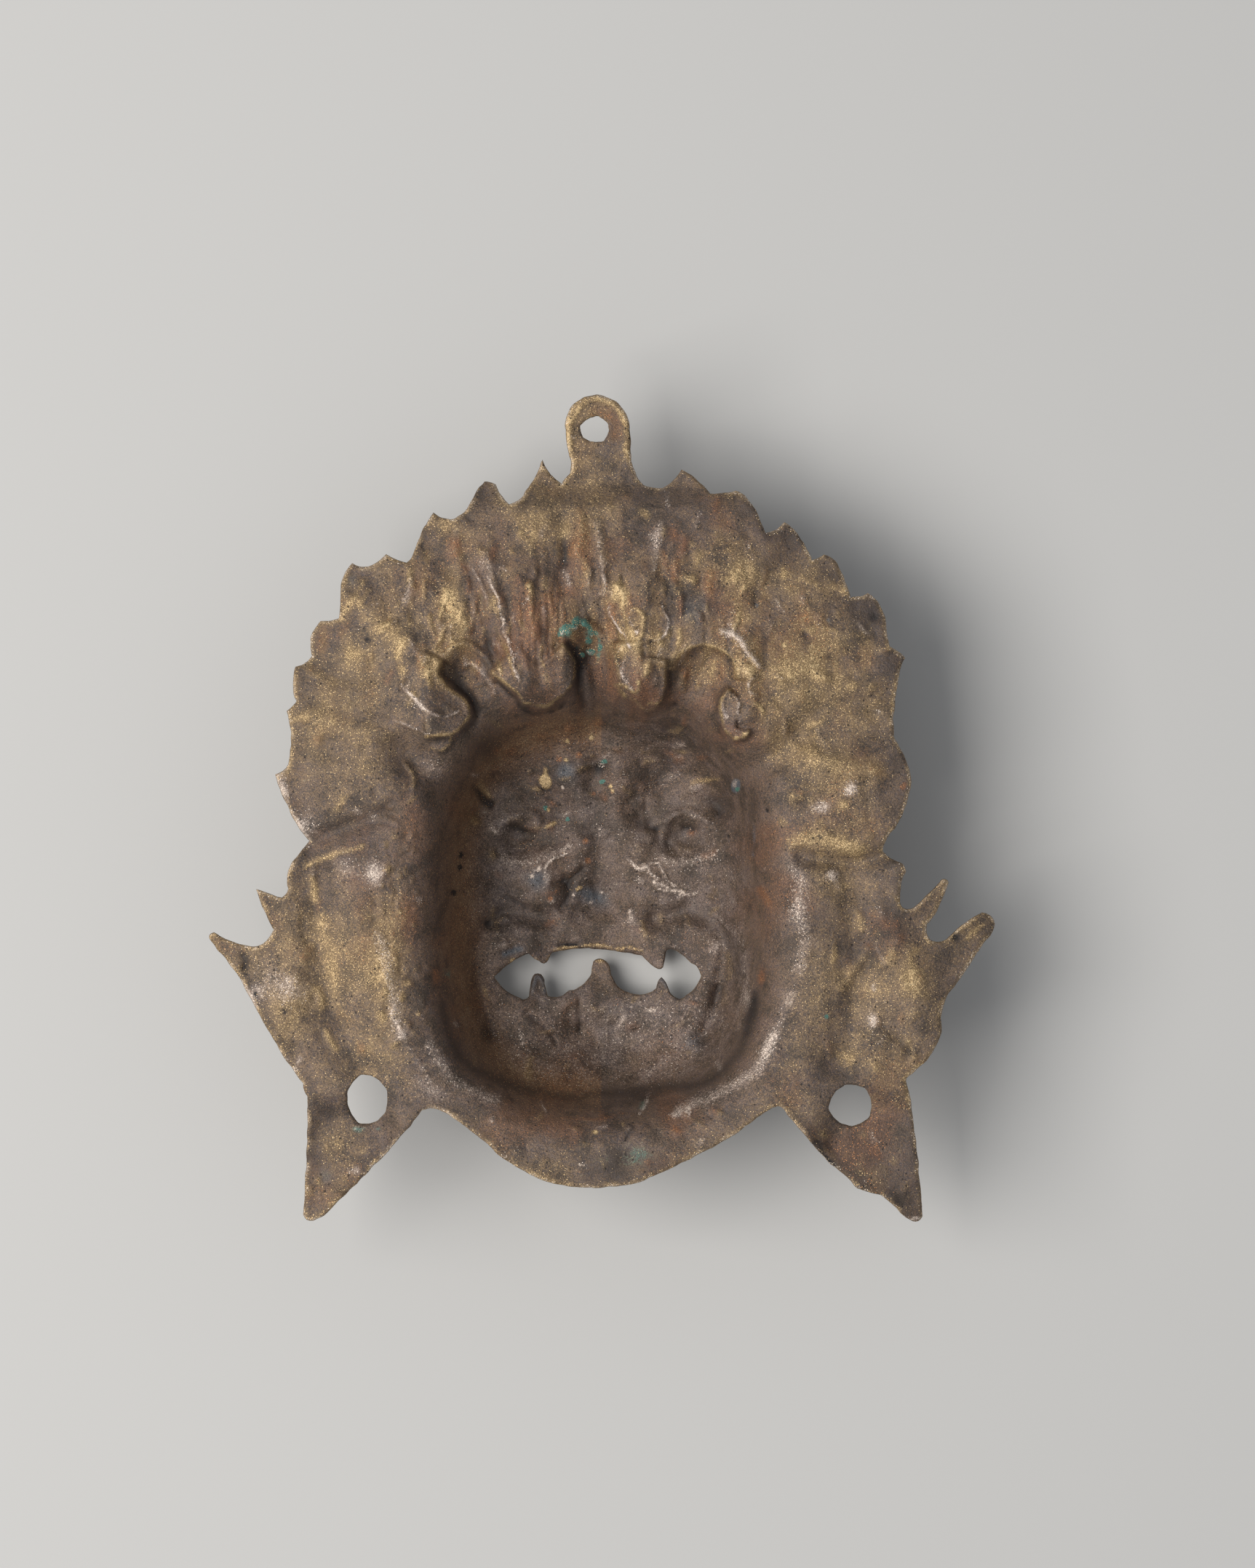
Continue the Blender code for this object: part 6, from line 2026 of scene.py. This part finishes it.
    def faces(
        self,
        loops: list[Grid],
        outward: list[Grid],
        sides: list[tuple[Grid, Grid, Grid, Grid]],
        back_count: int,
        ring_count: int,
    ) -> tuple[list[tuple[int, ...]], Grid]:
        """Faces of the back, the face side and the rim, with their places in the colour map.

        Args:
            loops: The outline and then the openings.
            outward: Outward directions of each loop's points.
            sides: The two sides' plan.
            back_count: Number of points on the back.
            ring_count: Number of points on the rim's rings.

        Returns:
            The faces and a map place for each of their corners.
        """
        face_first = back_count + ring_count
        faces: list[tuple[int, ...]] = [tuple(face) for face in sides[0][2].tolist()]
        faces += [(c + face_first, b + face_first, a + face_first) for a, b, c in sides[1][2].tolist()]
        back_map = self.back_map.at(np.column_stack([sides[0][0], sides[0][1]]))
        face_map = self.face_map.at(np.column_stack([-sides[1][0], sides[1][1]]))
        back_corners = back_map[sides[0][2].ravel()]
        face_corners = face_map[sides[1][2][:, ::-1].ravel()]
        pieces = [back_corners, face_corners]
        loop_first = 0
        ring_first = back_count
        for loop, out in zip(loops, outward):
            count = len(loop)
            rows = [np.arange(count) + loop_first]
            rows += [np.arange(count) + ring_first + count * ring for ring in range(self.rim_rings)]
            rows.append(np.arange(count) + loop_first + face_first)
            is_hole = loop is not loops[0]
            turned = (signed_area(loop) < 0) != is_hole
            order = [0, 1, 2, 3] if turned else [1, 0, 3, 2]
            for depth, (upper, lower) in enumerate(zip(rows, rows[1:])):
                quads = np.stack([upper, np.roll(upper, -1), np.roll(lower, -1), lower], axis=1)
                faces += [tuple(quad) for quad in quads[:, order].tolist()]
                near = self.back_map.at(loop + out * self.ring_map_width * depth)
                far = self.back_map.at(loop + out * self.ring_map_width * (depth + 1))
                places = np.stack([near, np.roll(near, -1, axis=0), np.roll(far, -1, axis=0), far], axis=1)
                pieces.append(places[:, order].reshape(-1, 2))
            loop_first += count
            ring_first += count * self.rim_rings
        return faces, np.vstack(pieces)

    def dress(
        self,
        points: Grid,
        faces: list[tuple[int, ...]],
        corners_uv: Grid,
        back: Sheet,
        face: Sheet,
        ring_count: int,
    ) -> bpy.types.Object:
        """Makes the object and gives it its tones and its finish.

        Args:
            points: All points, in millimetres.
            faces: All faces.
            corners_uv: A map place for each corner.
            back: The worked back.
            face: The worked face side.
            ring_count: Number of points on the rim's rings.

        Returns:
            The finished object.
        """
        mesh = bpy.data.meshes.new(self.name)
        mesh.from_pydata((points * MM).tolist(), [], faces)
        mesh.shade_smooth()
        ring_first = len(back.x)
        ring_x, ring_y = points[ring_first:ring_first + ring_count, :2].T
        wear = 0.5 + 0.5 * layered_noise(ring_x, ring_y, 3.0, 2, 85)
        rim_tones = {GOLD: 0.30 + 0.40 * wear, PALE: 0.05 + 0.45 * wear * wear, DARK: 0.30 - 0.25 * wear}
        for tone, amounts in back.tones.items():
            layer = mesh.attributes.new("tone_" + tone.value, "FLOAT", "POINT")
            ring = rim_tones.get(tone, np.zeros(ring_count))
            values = np.concatenate([amounts, ring, face.tones[tone]])
            layer.data.foreach_set("value", values.astype(np.float32))
        layer = mesh.uv_layers.new(name="OFBake")
        layer.data.foreach_set("uv", corners_uv.astype(np.float32).ravel())
        mesh.materials.append(AgedCopperAlloy().build())
        piece = bpy.data.objects.new(self.name, mesh)
        bpy.context.scene.collection.objects.link(piece)
        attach(piece, "root")
        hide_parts(CAD_NODE)
        return piece


@dataclass(frozen=True)
class PaleFloor:
    """A plain pale floor under the mask."""

    name: str = "pale_floor"
    half_size: float = 3.0
    colour: Colour = (0.46, 0.455, 0.445, 1.0)
    roughness: float = 0.9

    def build(self) -> bpy.types.Object:
        """Makes the floor.

        Returns:
            The floor.
        """
        corners = [(-1, -1), (1, -1), (1, 1), (-1, 1)]
        mesh = bpy.data.meshes.new(self.name)
        points = [(x * self.half_size, y * self.half_size, 0.0) for x, y in corners]
        mesh.from_pydata(points, [], [(0, 1, 2, 3)])
        material = bpy.data.materials.new(self.name)
        material.use_nodes = True
        shader = material.node_tree.nodes["Principled BSDF"]
        shader.inputs["Base Color"].default_value = self.colour
        shader.inputs["Roughness"].default_value = self.roughness
        mesh.materials.append(material)
        floor = bpy.data.objects.new(self.name, mesh)
        bpy.context.scene.collection.objects.link(floor)
        return floor


@dataclass(frozen=True)
class StudioLight:
    """One large soft light from the left, its direction counted from +X, with some light from all round."""

    name: str = "soft_key"
    distance: float = 1.3
    direction: float = 186.0
    elevation: float = 56.0
    size: float = 0.90
    power: float = 20.0
    colour: tuple[float, float, float] = (1.0, 0.975, 0.94)
    sky: Colour = (0.93, 0.96, 1.0, 1.0)
    sky_strength: float = 0.46

    def build(self) -> None:
        """Makes the light and the sky."""
        turn = math.radians(self.direction)
        rise = math.radians(self.elevation)
        flat = self.distance * math.cos(rise)
        data = bpy.data.lights.new(self.name, "AREA")
        data.shape = "SQUARE"
        data.size = self.size
        data.energy = self.power
        data.color = self.colour
        lamp = bpy.data.objects.new(self.name, data)
        lamp.location = (flat * math.cos(turn), flat * math.sin(turn), self.distance * math.sin(rise))
        lamp.rotation_euler = (-Vector(lamp.location)).to_track_quat("-Z", "Y").to_euler()
        bpy.context.scene.collection.objects.link(lamp)
        world = bpy.data.worlds.new("soft_sky")
        world.use_nodes = True
        background = world.node_tree.nodes["Background"]
        background.inputs["Color"].default_value = self.sky
        background.inputs["Strength"].default_value = self.sky_strength
        bpy.context.scene.world = world


@dataclass(frozen=True)
class OverheadCamera:
    """A camera that looks straight down at the mask's back."""

    name: str = "overhead_camera"
    centre_x: float = 4.9
    centre_y: float = 4.6
    frame_width: float = 241.5
    focus_level: float = 30.0
    distance: float = 1600.0
    sensor_width: float = 36.0

    def build(self) -> bpy.types.Object:
        """Makes the camera and sets it as the scene's.

        Returns:
            The camera.
        """
        data = bpy.data.cameras.new(self.name)
        data.sensor_fit = "HORIZONTAL"
        data.sensor_width = self.sensor_width
        data.lens = self.sensor_width * self.distance / self.frame_width
        data.clip_start = 0.01
        data.clip_end = 20.0
        camera = bpy.data.objects.new(self.name, data)
        camera.location = (self.centre_x * MM, self.centre_y * MM, (self.focus_level + self.distance) * MM)
        bpy.context.scene.collection.objects.link(camera)
        bpy.context.scene.camera = camera
        return camera


def main() -> None:
    """Builds the camera, the light, the floor and the mask."""
    logging.basicConfig(level=logging.INFO, format="%(name)s: %(message)s")
    OverheadCamera().build()
    StudioLight().build()
    PaleFloor().build()
    bpy.context.scene.view_settings.view_transform = "Standard"
    mask = CastMask().build()
    log.info("%s: %d faces", mask.name, len(mask.data.polygons))


if __name__ == "__main__":
    main()
